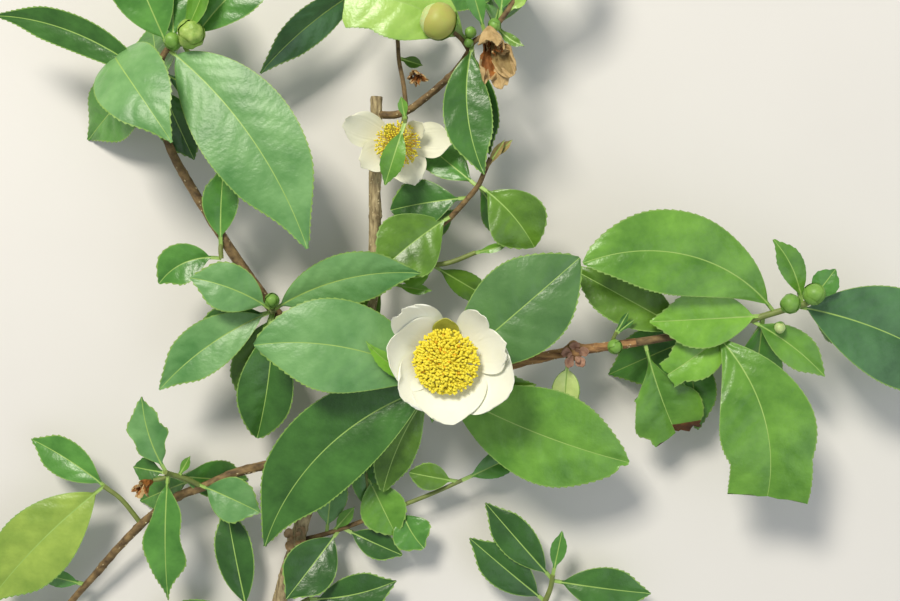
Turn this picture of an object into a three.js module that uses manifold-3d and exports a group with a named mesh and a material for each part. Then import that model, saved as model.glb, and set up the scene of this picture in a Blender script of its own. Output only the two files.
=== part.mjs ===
// A flowering tea branch, cut from its bush and laid on a flat surface, in millimetres, +Z up.
// One pruned stem carries three side branches. Leafy shoots, two open blooms, a round bud and
// two withered blooms sit on them.
import * as THREE from "three";
import { mergeVertices } from "three/addons/utils/BufferGeometryUtils.js";
import Module from "manifold-3d";

const wasm = await Module();
wasm.setup();

// Driving dimensions
const eyeHeight = 417; // the branch is laid out as seen from this far above the plane of the bloom
const bloomPlane = 32; // height of that plane above the ground
const gap = 0.3; // clear space between touching pieces
const leafThickness = 0.9; // at the midrib
const leafRows = { long: 5, middle: 4, short: 3 }; // steps along a blade
const middleLeaf = 36; // a leaf under this length has the middle count of steps
const shortLeaf = 20;
const stalkLength = 4; // leaf stalk, from the twig to the blade
const stalkHalfWidth = 0.75;
const bladeSides = 4;
const twigSides = 5;
const budSteps = { around: 7, down: 5 };
const leafFullness = 0.74; // 1 gives a plain oval, less a broader shoulder at both ends
const leafDrawn = 0.45; // how much a leaf narrows more than an oval towards its tip
const tornTip = 0.1; // a leaf that is wider than this share at its end is eaten or torn
const petalThickness = 0.7;
const petalFullness = 0.6;
const petalEnd = 0.9; // share of its oval that a petal has, the rest is missing at its broad end
const petalFoot = 1.2; // half the width of a petal where it begins
const petalWrap = 2; // a petal follows a circle this much wider than the bowl
const petalStart = 0.25; // how far off the axis a petal begins
const petalBelly = 1.5; // over 1 puts a petal's widest place nearer to its end
const petalSteps = { columns: 4, rows: 4 }; // steps across and along a petal of an open bloom
const traceSteps = 48; // steps in which a blade's midrib is followed
// The leaves below a shoot: the height at which their tips rest, the sine of their steepest slope,
// their width as a share of their length, and how far each of them differs from the next.
const underLeaf = { tipHeight: 1, steepest: 0.75, widthShare: 0.36, bend: 8 };
const underSpread = { size: 0.2, widthShare: 0.06, heading: 16, sway: 24, roll: 16 };
const randomFactor = 16807;
const randomRange = 2147483647;
// the dome of stamens from foot to top, as shares of its radius and height
const domeOutline = [[0.3, 0.12], [0.62, 0.36], [0.96, 0.72], [0.86, 0.94], [0.45, 1]];
const domeSteps = { around: 14, down: 6 };

const brownBark = { color: 0x7a5636, roughness: 0.85 };
const greenLeaf = { color: 0x3f7a35, roughness: 0.45 };
const brightLeaf = { color: 0x86b83f, roughness: 0.45 };
const whitePetal = { color: 0xf2f0e2, roughness: 0.5 };
const yellowStamens = { color: 0xe9b91c, roughness: 0.7 };
const greenBud = { color: 0xa9bf6a, roughness: 0.5 };
const witheredBrown = { color: 0xa9713a, roughness: 0.5 };
const brightShoots = ["pale_leaf", "yellow_leaf_shoot"];

const radians = THREE.MathUtils.degToRad;

// Spreads a point given on the bloom's plane so that it is seen at the same place at its own height.
function seen([x, y, z]) {
  const spread = 1 - (z - bloomPlane) / eyeHeight;
  return new THREE.Vector3(x * spread, y * spread, z);
}

function curveThrough(points) {
  return new THREE.CatmullRomCurve3(points.map(seen));
}

// A closed solid from a three.js geometry, with its shared vertices merged.
function solidOf(geometry) {
  geometry.deleteAttribute("normal");
  geometry.deleteAttribute("uv");
  const merged = mergeVertices(geometry, 1e-4);
  return new wasm.Manifold(
    new wasm.Mesh({
      numProp: 3,
      vertProperties: new Float32Array(merged.attributes.position.array),
      triVerts: new Uint32Array(merged.index.array),
    }),
  );
}

function geometryOf(solid) {
  const mesh = solid.getMesh();
  const geometry = new THREE.BufferGeometry();
  geometry.setAttribute("position", new THREE.BufferAttribute(mesh.vertProperties, 3));
  geometry.setIndex(new THREE.BufferAttribute(mesh.triVerts, 1));
  geometry.computeVertexNormals();
  return geometry;
}

// The largest closed body of a solid: a cut can leave loose scraps beside it.
function largestBody(solid) {
  return solid.decompose().sort((a, b) => b.volume() - a.volume())[0];
}

// A tapering limb along a curve. grow makes it that much thicker and longer.
function limbSolid(curve, startRadius, endRadius, { sides = 7, steps = 10, grow = 0 } = {}) {
  const geometry = new THREE.CylinderGeometry(1, 1, 1, sides, steps);
  const frames = curve.computeFrenetFrames(steps, false);
  const position = geometry.attributes.position;
  for (let i = 0; i < position.count; i++) {
    const step = Math.round((position.getY(i) + 0.5) * steps);
    const along = step / steps;
    const radius = THREE.MathUtils.lerp(startRadius, endRadius, along) + grow;
    const place = curve.getPointAt(along);
    if (step === 0) place.addScaledVector(frames.tangents[step], -grow);
    if (step === steps) place.addScaledVector(frames.tangents[step], grow);
    place.addScaledVector(frames.binormals[step], position.getX(i) * radius);
    place.addScaledVector(frames.normals[step], position.getZ(i) * radius);
    position.setXYZ(i, place.x, place.y, place.z);
  }
  return solidOf(geometry);
}

// The line of a blade's midrib with its side and upward directions. It leaves at heading and rise,
// sway turns it sideways and bend turns it down over its length, and roll tips it about itself.
function midrib(base, { heading, rise = 0, length, sway = 0, bend = 0, roll = 0, twist = 0 }) {
  const line = [];
  const place = base.clone();
  for (let i = 0; i <= traceSteps; i++) {
    const share = i / traceSteps - 0.5;
    const h = radians(heading + sway * share);
    const p = radians(rise - bend * share);
    const r = radians(roll + twist * share);
    const along = new THREE.Vector3(Math.cos(p) * Math.cos(h), Math.cos(p) * Math.sin(h), Math.sin(p));
    const level = new THREE.Vector3(Math.sin(h), -Math.cos(h), 0);
    const upright = new THREE.Vector3().crossVectors(level, along);
    const side = level.clone().multiplyScalar(Math.cos(r)).addScaledVector(upright, Math.sin(r));
    const face = new THREE.Vector3().crossVectors(side, along);
    line.push({ place: place.clone(), side, face });
    place.addScaledVector(along, length / traceSteps);
  }
  return line;
}

// Lays a flat pattern along a midrib: its x runs from edge to edge, its y from foot to tip, and its
// z through the blade. halfWidth gives the outline and height lifts the blade off its midrib.
function laidAlong(geometry, line, { halfWidth, thickness, height }) {
  const position = geometry.attributes.position;
  for (let i = 0; i < position.count; i++) {
    const across = position.getX(i);
    const along = position.getY(i) + 0.5;
    const { place, side, face } = line[Math.round(along * traceSteps)];
    const half = halfWidth(along);
    const point = place.clone();
    point.addScaledVector(side, across * half);
    point.addScaledVector(face, half * height(Math.abs(across)) + position.getZ(i) * thickness);
    position.setXYZ(i, point.x, point.y, point.z);
  }
  return solidOf(geometry);
}

// A tea leaf: a short stalk, then an oval blade. It is widest at belly, and tip is the share of its
// width that is left at the end, large where the end is eaten away.
function leafSolid(base, leaf) {
  const { length, width, belly = 0.5, tip = 0.04, drawn = tip < tornTip ? leafDrawn : 0 } = leaf;
  const stalk = Math.min(stalkLength / length, 0.2);
  const skew = Math.log(0.5) / Math.log(belly);
  const halfWidth = (along) => {
    const u = THREE.MathUtils.clamp((along - stalk) / (1 - stalk), 0, 1);
    const pointed = 1 - drawn * THREE.MathUtils.smoothstep(u, 0.66, 1);
    const oval = pointed * Math.pow(Math.sin(Math.PI * Math.pow(u, skew)), leafFullness);
    const end = along < 0.5 ? stalkHalfWidth : (width / 2) * tip;
    return Math.max((width / 2) * oval, end);
  };
  const size = length < shortLeaf ? "short" : length < middleLeaf ? "middle" : "long";
  const lift = Math.tan(radians(leaf.fold ?? 10));
  // thickest at the midrib, thin at both edges
  return laidAlong(new THREE.CylinderGeometry(1, 1, 1, bladeSides, leafRows[size]), midrib(base, leaf), {
    halfWidth,
    thickness: leafThickness / 2,
    height: (across) => lift * across,
  });
}

// A bud: a ball drawn out along its own upward axis.
function budSolid([x, y, z], radius, stretch = 1.1) {
  const geometry = new THREE.SphereGeometry(radius, budSteps.around, budSteps.down);
  geometry.rotateX(Math.PI / 2);
  geometry.scale(1, 1, stretch);
  const centre = seen([x, y, z]);
  geometry.translate(centre.x, centre.y, centre.z);
  return solidOf(geometry);
}

// Repeatable random numbers from 0 to 1.
function randomFrom(seed) {
  let state = seed;
  return () => {
    state = (state * randomFactor) % randomRange;
    return state / randomRange;
  };
}

// Leaves on the hidden side of a shoot, each at the same turn from the one before. Their tips rest on
// the ground.
function underLeaves({ count, seed, start, end, heading, turn, length }, line) {
  const random = randomFrom(seed);
  return Array.from({ length: count }, (_, i) => {
    const at = start + ((end - start) * i) / (count - 1);
    const size = length * (1 + underSpread.size * (random() - 0.5));
    const drop = line.getPointAt(at).z - underLeaf.tipHeight;
    return {
      at,
      heading: heading + i * turn + underSpread.heading * (random() - 0.5),
      rise: -THREE.MathUtils.radToDeg(Math.asin(Math.min(drop / size, underLeaf.steepest))),
      length: size,
      width: size * (underLeaf.widthShare + underSpread.widthShare * random()),
      sway: underSpread.sway * (random() - 0.5),
      bend: underLeaf.bend,
      roll: underSpread.roll * (random() - 0.5),
    };
  });
}

// The woody limbs. Points are x, y as seen on the bloom's plane, and the height above the ground.
const limbs = {
  main_stem: {
    points: [
      [-61, -117, 3.2], [-56, -97, 5], [-51, -80, 8], [-44, -57, 12],
      [-34, -30, 16], [-26, -3, 18], [-25, 20, 19], [-25, 43, 20], [-24.5, 68, 21],
    ],
    radii: [2.6, 1.95], sides: 8, steps: 14,
    knobs: [{ at: [-52.3, -80, 8], radius: 3.4, stretch: 0.9 }],
  },
  right_branch: {
    points: [
      [-34, -31, 16], [-20, -33, 18], [-3, -28, 20], [22, -21, 23],
      [40, -17, 25], [55, -15, 26], [62, -14, 26.5],
    ],
    radii: [2.2, 1.4], joins: ["main_stem"],
    knobs: [{ at: [41.5, -17.6, 25.4], radius: 3.5, stretch: 0.8 }],
  },
  upper_left_branch: {
    points: [
      [-35, -31, 16], [-43, -22, 18], [-51, -13, 20], [-59, -3, 22], [-70, 12, 25],
      [-79, 26, 27], [-87, 39, 29], [-93, 50, 30], [-96, 60, 31],
    ],
    radii: [2.2, 1.3], joins: ["main_stem"],
  },
  lower_left_branch: {
    points: [
      [-41, -47, 14], [-48, -51, 15], [-57, -54, 16], [-70, -57, 17], [-82, -62, 17],
      [-90, -65, 16.5], [-100, -72, 15], [-111, -83, 12], [-118, -91, 10],
    ],
    radii: [1.7, 1.3], joins: ["main_stem"],
  },
  upper_twig: {
    points: [
      [-24, 62, 21], [-18, 62, 23], [-14, 63.5, 25], [-9, 67, 27], [-3, 72, 29], [3, 78, 31], [6, 82.5, 32],
    ],
    radii: [1.3, 1.0], joins: ["main_stem"],
  },
  low_right_branch: {
    points: [
      [-58, -108, 4], [-48, -115, 3.4], [-24, -121, 3], [2, -119, 3.4], [22, -112, 5], [31, -102, 7],
    ],
    radii: [1.5, 1.1], joins: ["main_stem"],
  },
};

// A closed flower bud that is large enough to be a piece of its own.
const largeBuds = {
  round_bud: { at: [-4, 93.3, 43.5], radius: 6, stretch: 0.95 },
};

// Leafy shoots. Each has twigs of its own, and every leaf leaves its twig at a share of its length.
const bluntLeaf = { belly: 0.56, drawn: 0.1 };
const shoots = {
  bloom_rosette: {
    joins: ["right_branch"],
    twigs: [{
      points: [[-6, -28.5, 20], [-5.5, -29, 26], [-4, -27, 32], [-1, -22.5, 37]],
      radii: [1.4, 1.5],
      leaves: [
        { at: 0.4, heading: 224, length: 85, width: 29, rise: -6, sway: 56, bend: 24, roll: 4, belly: 0.46 },
        { at: 0.55, heading: 167, length: 65, width: 30.5, rise: 12,
          sway: 44, bend: 44, fold: 6, ...bluntLeaf },
        { at: 0.5, heading: 338, length: 70.5, width: 32, rise: -1,
          sway: 15, bend: 16, roll: -6, fold: 7, ...bluntLeaf },
        { at: 0.75, heading: 41, length: 61, width: 31, rise: 6, sway: 0, bend: 22, fold: 8, ...bluntLeaf },
        { at: 0.3, heading: 2, length: 35, width: 11, rise: 6, sway: 10, bend: 20 },
        { at: 0.7, heading: 151, length: 30.5, width: 6, rise: 24, sway: -50, bend: 10, fold: 30 },
        { at: 0.75, heading: 259, length: 15.5, width: 4.5, rise: 2, sway: 0, bend: 30, fold: 20 },
        { at: 0.25, heading: 245, length: 42, width: 14, rise: -12,
          sway: 24, bend: 20, roll: 20, ...bluntLeaf },
      ],
    }],
    buds: [{ at: [-0.3, -21.5, 37.6], radius: 2.6, stretch: 0.8 }],
  },
  left_rosette: {
    joins: ["upper_left_branch"],
    twigs: [{
      points: [[-59, -3.5, 22], [-59.3, -3.6, 28], [-59.3, -3, 33]],
      radii: [1.2, 1.0],
      leaves: [
        { at: 0.5, heading: 215, length: 47, width: 17, rise: 0, sway: 26, bend: 20 },
        { at: 0.85, heading: 158, length: 30, width: 16, rise: 10, sway: 30, bend: 40 },
        { at: 0.6, heading: 14, length: 53, width: 17.5, rise: 2, sway: -38, bend: 30, roll: -14 },
        { at: 0.35, heading: 250, length: 36, width: 15, rise: -14, sway: 0, bend: 20 },
        { at: 0.3, heading: 261, length: 46, width: 19, rise: -12,
          sway: -18, bend: 26, fold: 24, ...bluntLeaf },
        { at: 0.3, heading: 194, length: 29, width: 12, rise: -12, sway: 0, bend: 20 },
        { at: 0.95, heading: 95, length: 6, width: 3.4, rise: 50, sway: 0, bend: 30 },
      ],
    }],
    buds: [{ at: [-59.3, 0, 36], radius: 2.2, stretch: 1.15 }],
  },
  upper_left_shoot: {
    joins: ["upper_left_branch"],
    twigs: [{
      points: [[-96, 60, 31], [-97, 70, 34], [-97, 78, 37], [-94, 84, 39], [-86, 86.5, 40]],
      radii: [1.25, 0.9],
      leaves: [
        { at: 0.74, heading: 305, length: 82, width: 31.5, rise: 2,
          sway: -34, bend: 24, fold: 6, belly: 0.46 },
        { at: 0.35, heading: 157, length: 64, width: 12, rise: -6, sway: 36, bend: 26, roll: 18 },
        { at: 0.75, heading: 112, length: 40, width: 20, rise: 8, sway: 0, bend: 24 },
        { at: 0.8, heading: 92, length: 41, width: 21, rise: -2, sway: 10, bend: 24, roll: -10 },
        { at: 0.86, heading: 62, length: 29, width: 11, rise: 20, sway: 20, bend: 20, roll: 40 },
        { at: 1, heading: 42, length: 43, width: 18, rise: 4, sway: -20, bend: 24 },
        { at: 0.4, heading: 291, length: 29, width: 14, rise: -22, sway: 0, bend: 20 },
        { at: 0.5, heading: 337, length: 52, width: 16, rise: -12, sway: 10, bend: 10 },
      ],
    }, {
      points: [[-97, 72, 34.5], [-104, 76, 31], [-112, 82, 29]],
      radii: [0.9, 0.8],
      leaves: [
        { at: 1, heading: 308, length: 52, width: 25, rise: 30, sway: -12, bend: 84, belly: 0.4, fold: 4 },
      ],
    }],
    buds: [
      { at: [-86.5, 89, 44], radius: 4.2 },
      { at: [-92.5, 86.5, 41], radius: 2.7 },
    ],
    under: { count: 3, seed: 41, start: 0.3, end: 0.9, heading: 112, turn: 93, length: 50 },
  },
  upper_left_low_leaves: {
    joins: ["upper_left_branch"],
    twigs: [{
      points: [[-76, 20, 26.2], [-76.5, 17.5, 28.5], [-76.3, 14, 28.6]],
      radii: [0.9, 0.8], steps: 4,
      leaves: [
        { at: 0.45, heading: 87, length: 27, width: 12, rise: 4, sway: -6, bend: 16, fold: 16 },
        { at: 1, heading: 203, length: 24, width: 13.5, rise: 0, sway: 64, bend: 30, fold: 18 },
      ],
    }],
  },
  right_shoot: {
    joins: ["right_branch"],
    twigs: [{
      points: [
        [62, -14, 26.5], [77, -11.5, 28], [90, -9, 29], [100, -6.5, 30], [108.5, -4, 32],
        [116.5, -1.7, 34], [121.5, 0, 36],
      ],
      radii: [1.4, 1.0],
      leaves: [
        { at: 0.78, heading: 166, length: 73, width: 27.5, rise: 8,
          sway: 72, bend: 26, fold: 6, ...bluntLeaf },
        { at: 0.3, heading: 151, length: 46, width: 18, rise: -3, sway: 0, bend: 16 },
        { at: 0.72, heading: 183, length: 39, width: 19, rise: 4, sway: 0, bend: 16, roll: 4 },
        { at: 0.56, heading: 217, length: 29, width: 16, rise: -2, sway: -8, bend: 16, tip: 0.6 },
        { at: 0.05, heading: 291, length: 36, width: 25, rise: -14,
          sway: 14, bend: 20, tip: 0.7, belly: 0.72 },
        { at: 0.28, heading: 282, length: 38, width: 15, rise: -24, sway: 0, bend: 20 },
        { at: 0.42, heading: 288, length: 62.5, width: 32, rise: 2,
          sway: -50, bend: 44, fold: 6, tip: 0.85, belly: 0.6 },
        { at: 0.64, heading: 323, length: 32, width: 12, rise: -2, sway: -20, bend: 16 },
        { at: 0.9, heading: 336, length: 70, width: 32, rise: -8, sway: -28, bend: 30, fold: 8 },
        { at: 0.93, heading: 117, length: 25, width: 9, rise: 12, sway: 34, bend: 20, roll: -10 },
        { at: 0.97, heading: 54, length: 14, width: 9, rise: 12, sway: 0, bend: 30 },
      ],
    }],
    buds: [
      { at: [113.5, -1, 39], radius: 3.1 },
      { at: [121.5, 2.2, 40], radius: 3.4 },
      { at: [110, -9, 33], radius: 1.8 },
    ],
    under: { count: 3, seed: 77, start: 0.98, end: 0.45, heading: 340, turn: -70, length: 46 },
  },
  branch_bud: {
    joins: ["right_branch"],
    twigs: [{
      points: [[54.5, -15, 26], [54.2, -13.6, 29], [55.5, -10.5, 31]],
      radii: [0.8, 0.6], steps: 3,
      leaves: [
        { at: 0.9, heading: 62, length: 9, width: 2.2, rise: 20, sway: 0, bend: 0 },
        { at: 0.9, heading: 38, length: 8, width: 1.8, rise: 12, sway: 0, bend: 0 },
      ],
    }],
    buds: [{ at: [55, -15.4, 29.8], radius: 2.3, stretch: 1 }],
  },
  pale_leaf: {
    joins: ["right_branch"],
    twigs: [{
      points: [[39.8, -17, 25], [39.3, -20, 25]],
      radii: [0.9, 0.8], steps: 2,
      leaves: [
        { at: 0.8, heading: 268, length: 22, width: 9.5, rise: -16,
          sway: 6, bend: 20, belly: 0.4, drawn: 0.2 },
      ],
    }],
  },
  top_shoot: {
    joins: ["upper_twig", "round_bud"],
    twigs: [{
      points: [
        [6, 82.5, 32], [7.5, 86, 35], [11.5, 88.5, 37],
        [16, 92.5, 38], [21.5, 100, 39], [26, 107, 40],
      ],
      radii: [1.0, 0.8],
      leaves: [
        { at: 0.12, heading: 161, length: 47, width: 25, rise: 6,
          sway: 44, bend: 34, fold: 6, tip: 0.85, belly: 0.56 },
        { at: 0.15, heading: 275, length: 45, width: 16, rise: 1, sway: 40, bend: 6 },
        { at: 0.1, heading: 281, length: 38, width: 13, rise: -22, sway: 8, bend: 10, roll: -20 },
        { at: 0.5, heading: 84, length: 36, width: 15, rise: 4, sway: 0, bend: 20 },
        { at: 0.3, heading: 108, length: 20, width: 6, rise: 20, sway: 0, bend: 10 },
        { at: 0.98, heading: 62, length: 36, width: 13, rise: -6, sway: 20, bend: 30 },
        { at: 0.98, heading: 128, length: 34, width: 13, rise: -6, sway: 20, bend: 30 },
        { at: 0.63, heading: 32, length: 8, width: 3.2, rise: 20, sway: 0, bend: 0 },
        { at: 0.45, heading: 322, length: 12, width: 3.4, rise: 10, sway: 40, bend: 0 },
      ],
    }, {
      points: [[6.3, 83.5, 33], [3.5, 87.5, 37.5], [-1, 91, 41]],
      radii: [0.8, 0.7], steps: 3, leaves: [],
    }, {
      points: [[14, 90.6, 37.5], [14.7, 91.8, 41.5]],
      radii: [0.8, 0.7], steps: 1, leaves: [],
    }],
    buds: [
      { at: [6.8, 89.5, 37.6], radius: 1.8 },
      { at: [6.2, 86, 36.4], radius: 1.5 },
      { at: [14.8, 91.9, 42], radius: 2 },
    ],
    under: { count: 3, seed: 23, start: 0.4, end: 1, heading: 84, turn: 40, length: 50 },
  },
  back_twig: {
    joins: ["upper_twig"],
    twigs: [{
      points: [
        [-14.5, 63.2, 25], [-15.5, 72, 26], [-17, 80, 24],
        [-18, 90, 22], [-22.5, 100, 20], [-28, 109, 18],
      ],
      radii: [0.8, 0.6],
      leaves: [
        { at: 0.36, heading: 340, length: 9, width: 4, rise: 16, sway: 0, bend: 10 },
        { at: 0.92, heading: 220, length: 50, width: 14, rise: 4, sway: 16, bend: 24, roll: 44 },
        { at: 1, heading: 120, length: 36, width: 14, rise: -22, sway: 20, bend: 20 },
        { at: 0.96, heading: 84, length: 32, width: 12, rise: -16, sway: -20, bend: 20 },
        { at: 0.7, heading: 352, length: 22, width: 9, rise: -30, sway: 0, bend: 20 },
      ],
    }],
    buds: [{ at: [-11.6, 76, 28.5], radius: 3.4, stretch: 1.1 }],
  },
  upper_bloom_stalk: {
    joins: ["upper_twig"],
    twigs: [{
      points: [[-15, 63, 25], [-15, 61.6, 30], [-14.7, 61, 36], [-15, 59.6, 41.5]],
      radii: [0.8, 0.7], steps: 4,
      leaves: [
        { at: 0.98, heading: 252, length: 22, width: 7.6, rise: -6, sway: 0, bend: 30, fold: 14 },
        { at: 0.9, heading: 100, length: 8, width: 3.2, rise: 20, sway: 0, bend: 10 },
      ],
    }, {
      points: [[-15.1, 62.2, 27], [-16, 57, 25.2], [-17.2, 52.7, 26.3]],
      radii: [0.8, 0.9], steps: 3, leaves: [],
    }],
    buds: [{ at: [-17.3, 52.8, 24.2], radius: 2.4, stretch: 0.8 }],
  },
  middle_shoot: {
    joins: ["main_stem"],
    twigs: [{
      points: [[-25, 19, 19], [-15, 19, 20], [-7, 22.5, 21.5], [0, 27.5, 23]],
      radii: [1.2, 1.0], leaves: [],
    }, {
      points: [[0, 27.5, 23], [5, 33, 26], [9.5, 38.5, 29], [11.5, 43, 31], [13.5, 47.5, 33]],
      radii: [1.0, 0.8],
      leaves: [
        { at: 0.58, heading: 139, length: 30, width: 13, rise: -22, sway: 0, bend: 10 },
        { at: 0.38, heading: 188, length: 28, width: 17, rise: -15, sway: 8, bend: 20, ...bluntLeaf },
        { at: 0.06, heading: 218, length: 31, width: 23, rise: 7, sway: 12, bend: 16, ...bluntLeaf },
        { at: 0.6, heading: 312, length: 29, width: 20, rise: -4, sway: -26, bend: 40, ...bluntLeaf },
        { at: 0.84, heading: 56, length: 12, width: 2.8, rise: 24, sway: 0, bend: 0, fold: 30 },
        { at: 0.98, heading: 40, length: 10, width: 2.8, rise: 16, sway: 0, bend: 0, fold: 30 },
      ],
    }],
    under: { twig: 1, count: 2, seed: 11, start: 0.2, end: 0.6, heading: 207, turn: 100, length: 30 },
  },
  low_middle_shoot: {
    joins: ["main_stem"],
    twigs: [{
      points: [[-26, 3, 18], [-16, 7, 20], [-9, 11, 21], [0, 12.7, 22], [8.5, 16, 23]],
      radii: [1.0, 0.8],
      leaves: [
        { at: 0.22, heading: 18, length: 14, width: 7, rise: 16, sway: 0, bend: 20 },
        { at: 0.15, heading: 228, length: 24, width: 12, rise: -6, sway: 0, bend: 20 },
        { at: 0.2, heading: 350, length: 14, width: 4, rise: 10, sway: 10, bend: 0 },
        { at: 0.98, heading: 14, length: 12, width: 3, rise: 4, sway: 0, bend: 0 },
        { at: 0.6, heading: 330, length: 26, width: 9, rise: -24, sway: 0, bend: 10 },
      ],
    }],
  },
  lower_left_rosette: {
    joins: ["lower_left_branch"],
    twigs: [{
      points: [[-83, -62, 17], [-88, -59.5, 21], [-93, -58, 25], [-95, -57.3, 28]],
      radii: [1.0, 0.9],
      leaves: [
        { at: 0.95, heading: 105, length: 28, width: 12, rise: 12, sway: -24, bend: 20, twist: 30 },
        { at: 0.9, heading: 268, length: 46, width: 13, rise: -10, sway: 4, bend: 30, twist: 20, drawn: 0.8 },
        { at: 0.12, heading: 336, length: 24, width: 15.5, rise: 2, sway: -10, bend: 20 },
        { at: 0.6, heading: 58, length: 9, width: 3, rise: 20, sway: 0, bend: 0 },
        { at: 0.9, heading: 172, length: 13, width: 8, rise: -14, sway: 0, bend: 20 },
      ],
    }, {
      points: [[-93, -58, 25], [-96, -59.4, 26], [-99, -60, 27]],
      radii: [0.8, 0.7], steps: 2, leaves: [],
    }],
    buds: [{ at: [-99.3, -60, 27.5], radius: 3.6, stretch: 1.1 }],
    under: { count: 2, seed: 19, start: 0.3, end: 0.7, heading: 205, turn: 137, length: 34 },
  },
  lower_left_tip: {
    joins: ["lower_left_branch"],
    twigs: [{
      points: [[-118, -91, 10], [-126, -100, 9], [-134, -110, 9], [-140, -119, 10]],
      radii: [1.25, 0.9],
      leaves: [
        { at: 0.15, heading: 160, length: 16, width: 6, rise: 20, sway: 0, bend: 10 },
        { at: 0.35, heading: 285, length: 26, width: 11, rise: 10, sway: 10, bend: 20 },
        { at: 0.7, heading: 185, length: 42, width: 16, rise: 0, sway: 20, bend: 26 },
        { at: 0.85, heading: 300, length: 40, width: 15, rise: 6, sway: -20, bend: 26 },
        { at: 1, heading: 232, length: 46, width: 17, rise: 6, sway: 10, bend: 30 },
        { at: 0.95, heading: 150, length: 30, width: 12, rise: 10, sway: 10, bend: 24 },
      ],
    }],
  },
  yellow_leaf_shoot: {
    joins: ["lower_left_branch"],
    twigs: [{
      points: [[-103, -74.5, 14], [-110, -66, 16], [-115.5, -62, 17]],
      radii: [0.9, 0.8], steps: 4,
      leaves: [
        { at: 1, heading: 225, length: 59, width: 25, rise: -4, sway: 14, bend: 24, fold: 7 },
        { at: 0.9, heading: 150, length: 34, width: 13, rise: -10, sway: 20, bend: 24 },
      ],
    }],
  },
  low_centre_shoot: {
    joins: ["main_stem"],
    twigs: [{
      points: [
        [-50, -80, 8], [-42, -78, 9], [-33, -75, 10], [-24, -71.5, 11],
        [-15, -68, 12], [-5, -64, 13], [4, -60, 14],
      ],
      radii: [0.9, 0.7],
      leaves: [
        { at: 0.42, heading: 92, length: 27, width: 11, rise: 4, sway: 0, bend: 20 },
        { at: 0.98, heading: 168, length: 18, width: 9.5, rise: 10, sway: 0, bend: 20, drawn: 0.1 },
        { at: 0.62, heading: 300, length: 17, width: 14, rise: 6, sway: 30, bend: 20 },
        { at: 0.16, heading: 83, length: 25, width: 12, rise: 8, sway: 0, bend: 20 },
        { at: 0.2, heading: 50, length: 13, width: 4.5, rise: 20, sway: 0, bend: 20 },
        { at: 1, heading: 24, length: 24, width: 9, rise: -10, sway: 0, bend: 20 },
        { at: 0.24, heading: 232, length: 30, width: 18, rise: 14, sway: 0, bend: 24 },
        { at: 0.26, heading: 336, length: 23, width: 10, rise: 2, sway: 0, bend: 20 },
      ],
    }, {
      points: [[-26, -72.2, 10.8], [-27.4, -62, 12], [-28, -57.5, 12.4]],
      radii: [0.8, 0.7], steps: 3,
      leaves: [
        { at: 1, heading: 296, length: 24, width: 16, rise: 2, sway: 0, bend: 16, drawn: 0.1 },
      ],
    }],
  },
  stem_foot_leaves: {
    joins: ["main_stem"],
    twigs: [{
      points: [[-69, -104, 9.4], [-63.5, -104.5, 8.6], [-58, -104, 8.3], [-52, -102, 9], [-47, -99.5, 11]],
      radii: [0.9, 0.8], steps: 6,
      leaves: [
        { at: 0.98, heading: 12, length: 32, width: 14, rise: 0, sway: 20, bend: 20 },
        { at: 0.06, heading: 101, length: 40, width: 13, rise: 1, sway: 0, bend: 20 },
        { at: 0.03, heading: 190, length: 36, width: 13, rise: -2, sway: 20, bend: 20 },
      ],
    }],
  },
  low_right_shoot: {
    joins: ["low_right_branch"],
    twigs: [{
      points: [[31, -102, 7], [33.5, -96, 9], [34.3, -91.5, 12]],
      radii: [1.05, 0.8], steps: 4,
      leaves: [
        { at: 0.85, heading: 131, length: 36, width: 13, rise: 2, sway: 0, bend: 20 },
        { at: 1, heading: 80, length: 17, width: 5.5, rise: 16, sway: 0, bend: 10 },
        { at: 0.15, heading: 139, length: 36, width: 14, rise: 8, sway: 0, bend: 20 },
        { at: 0.8, heading: 353, length: 35, width: 15, rise: 2, sway: 0, bend: 24 },
        { at: 0.2, heading: 300, length: 38, width: 14, rise: 0, sway: 16, bend: 22 },
      ],
    }],
  },
};

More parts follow.
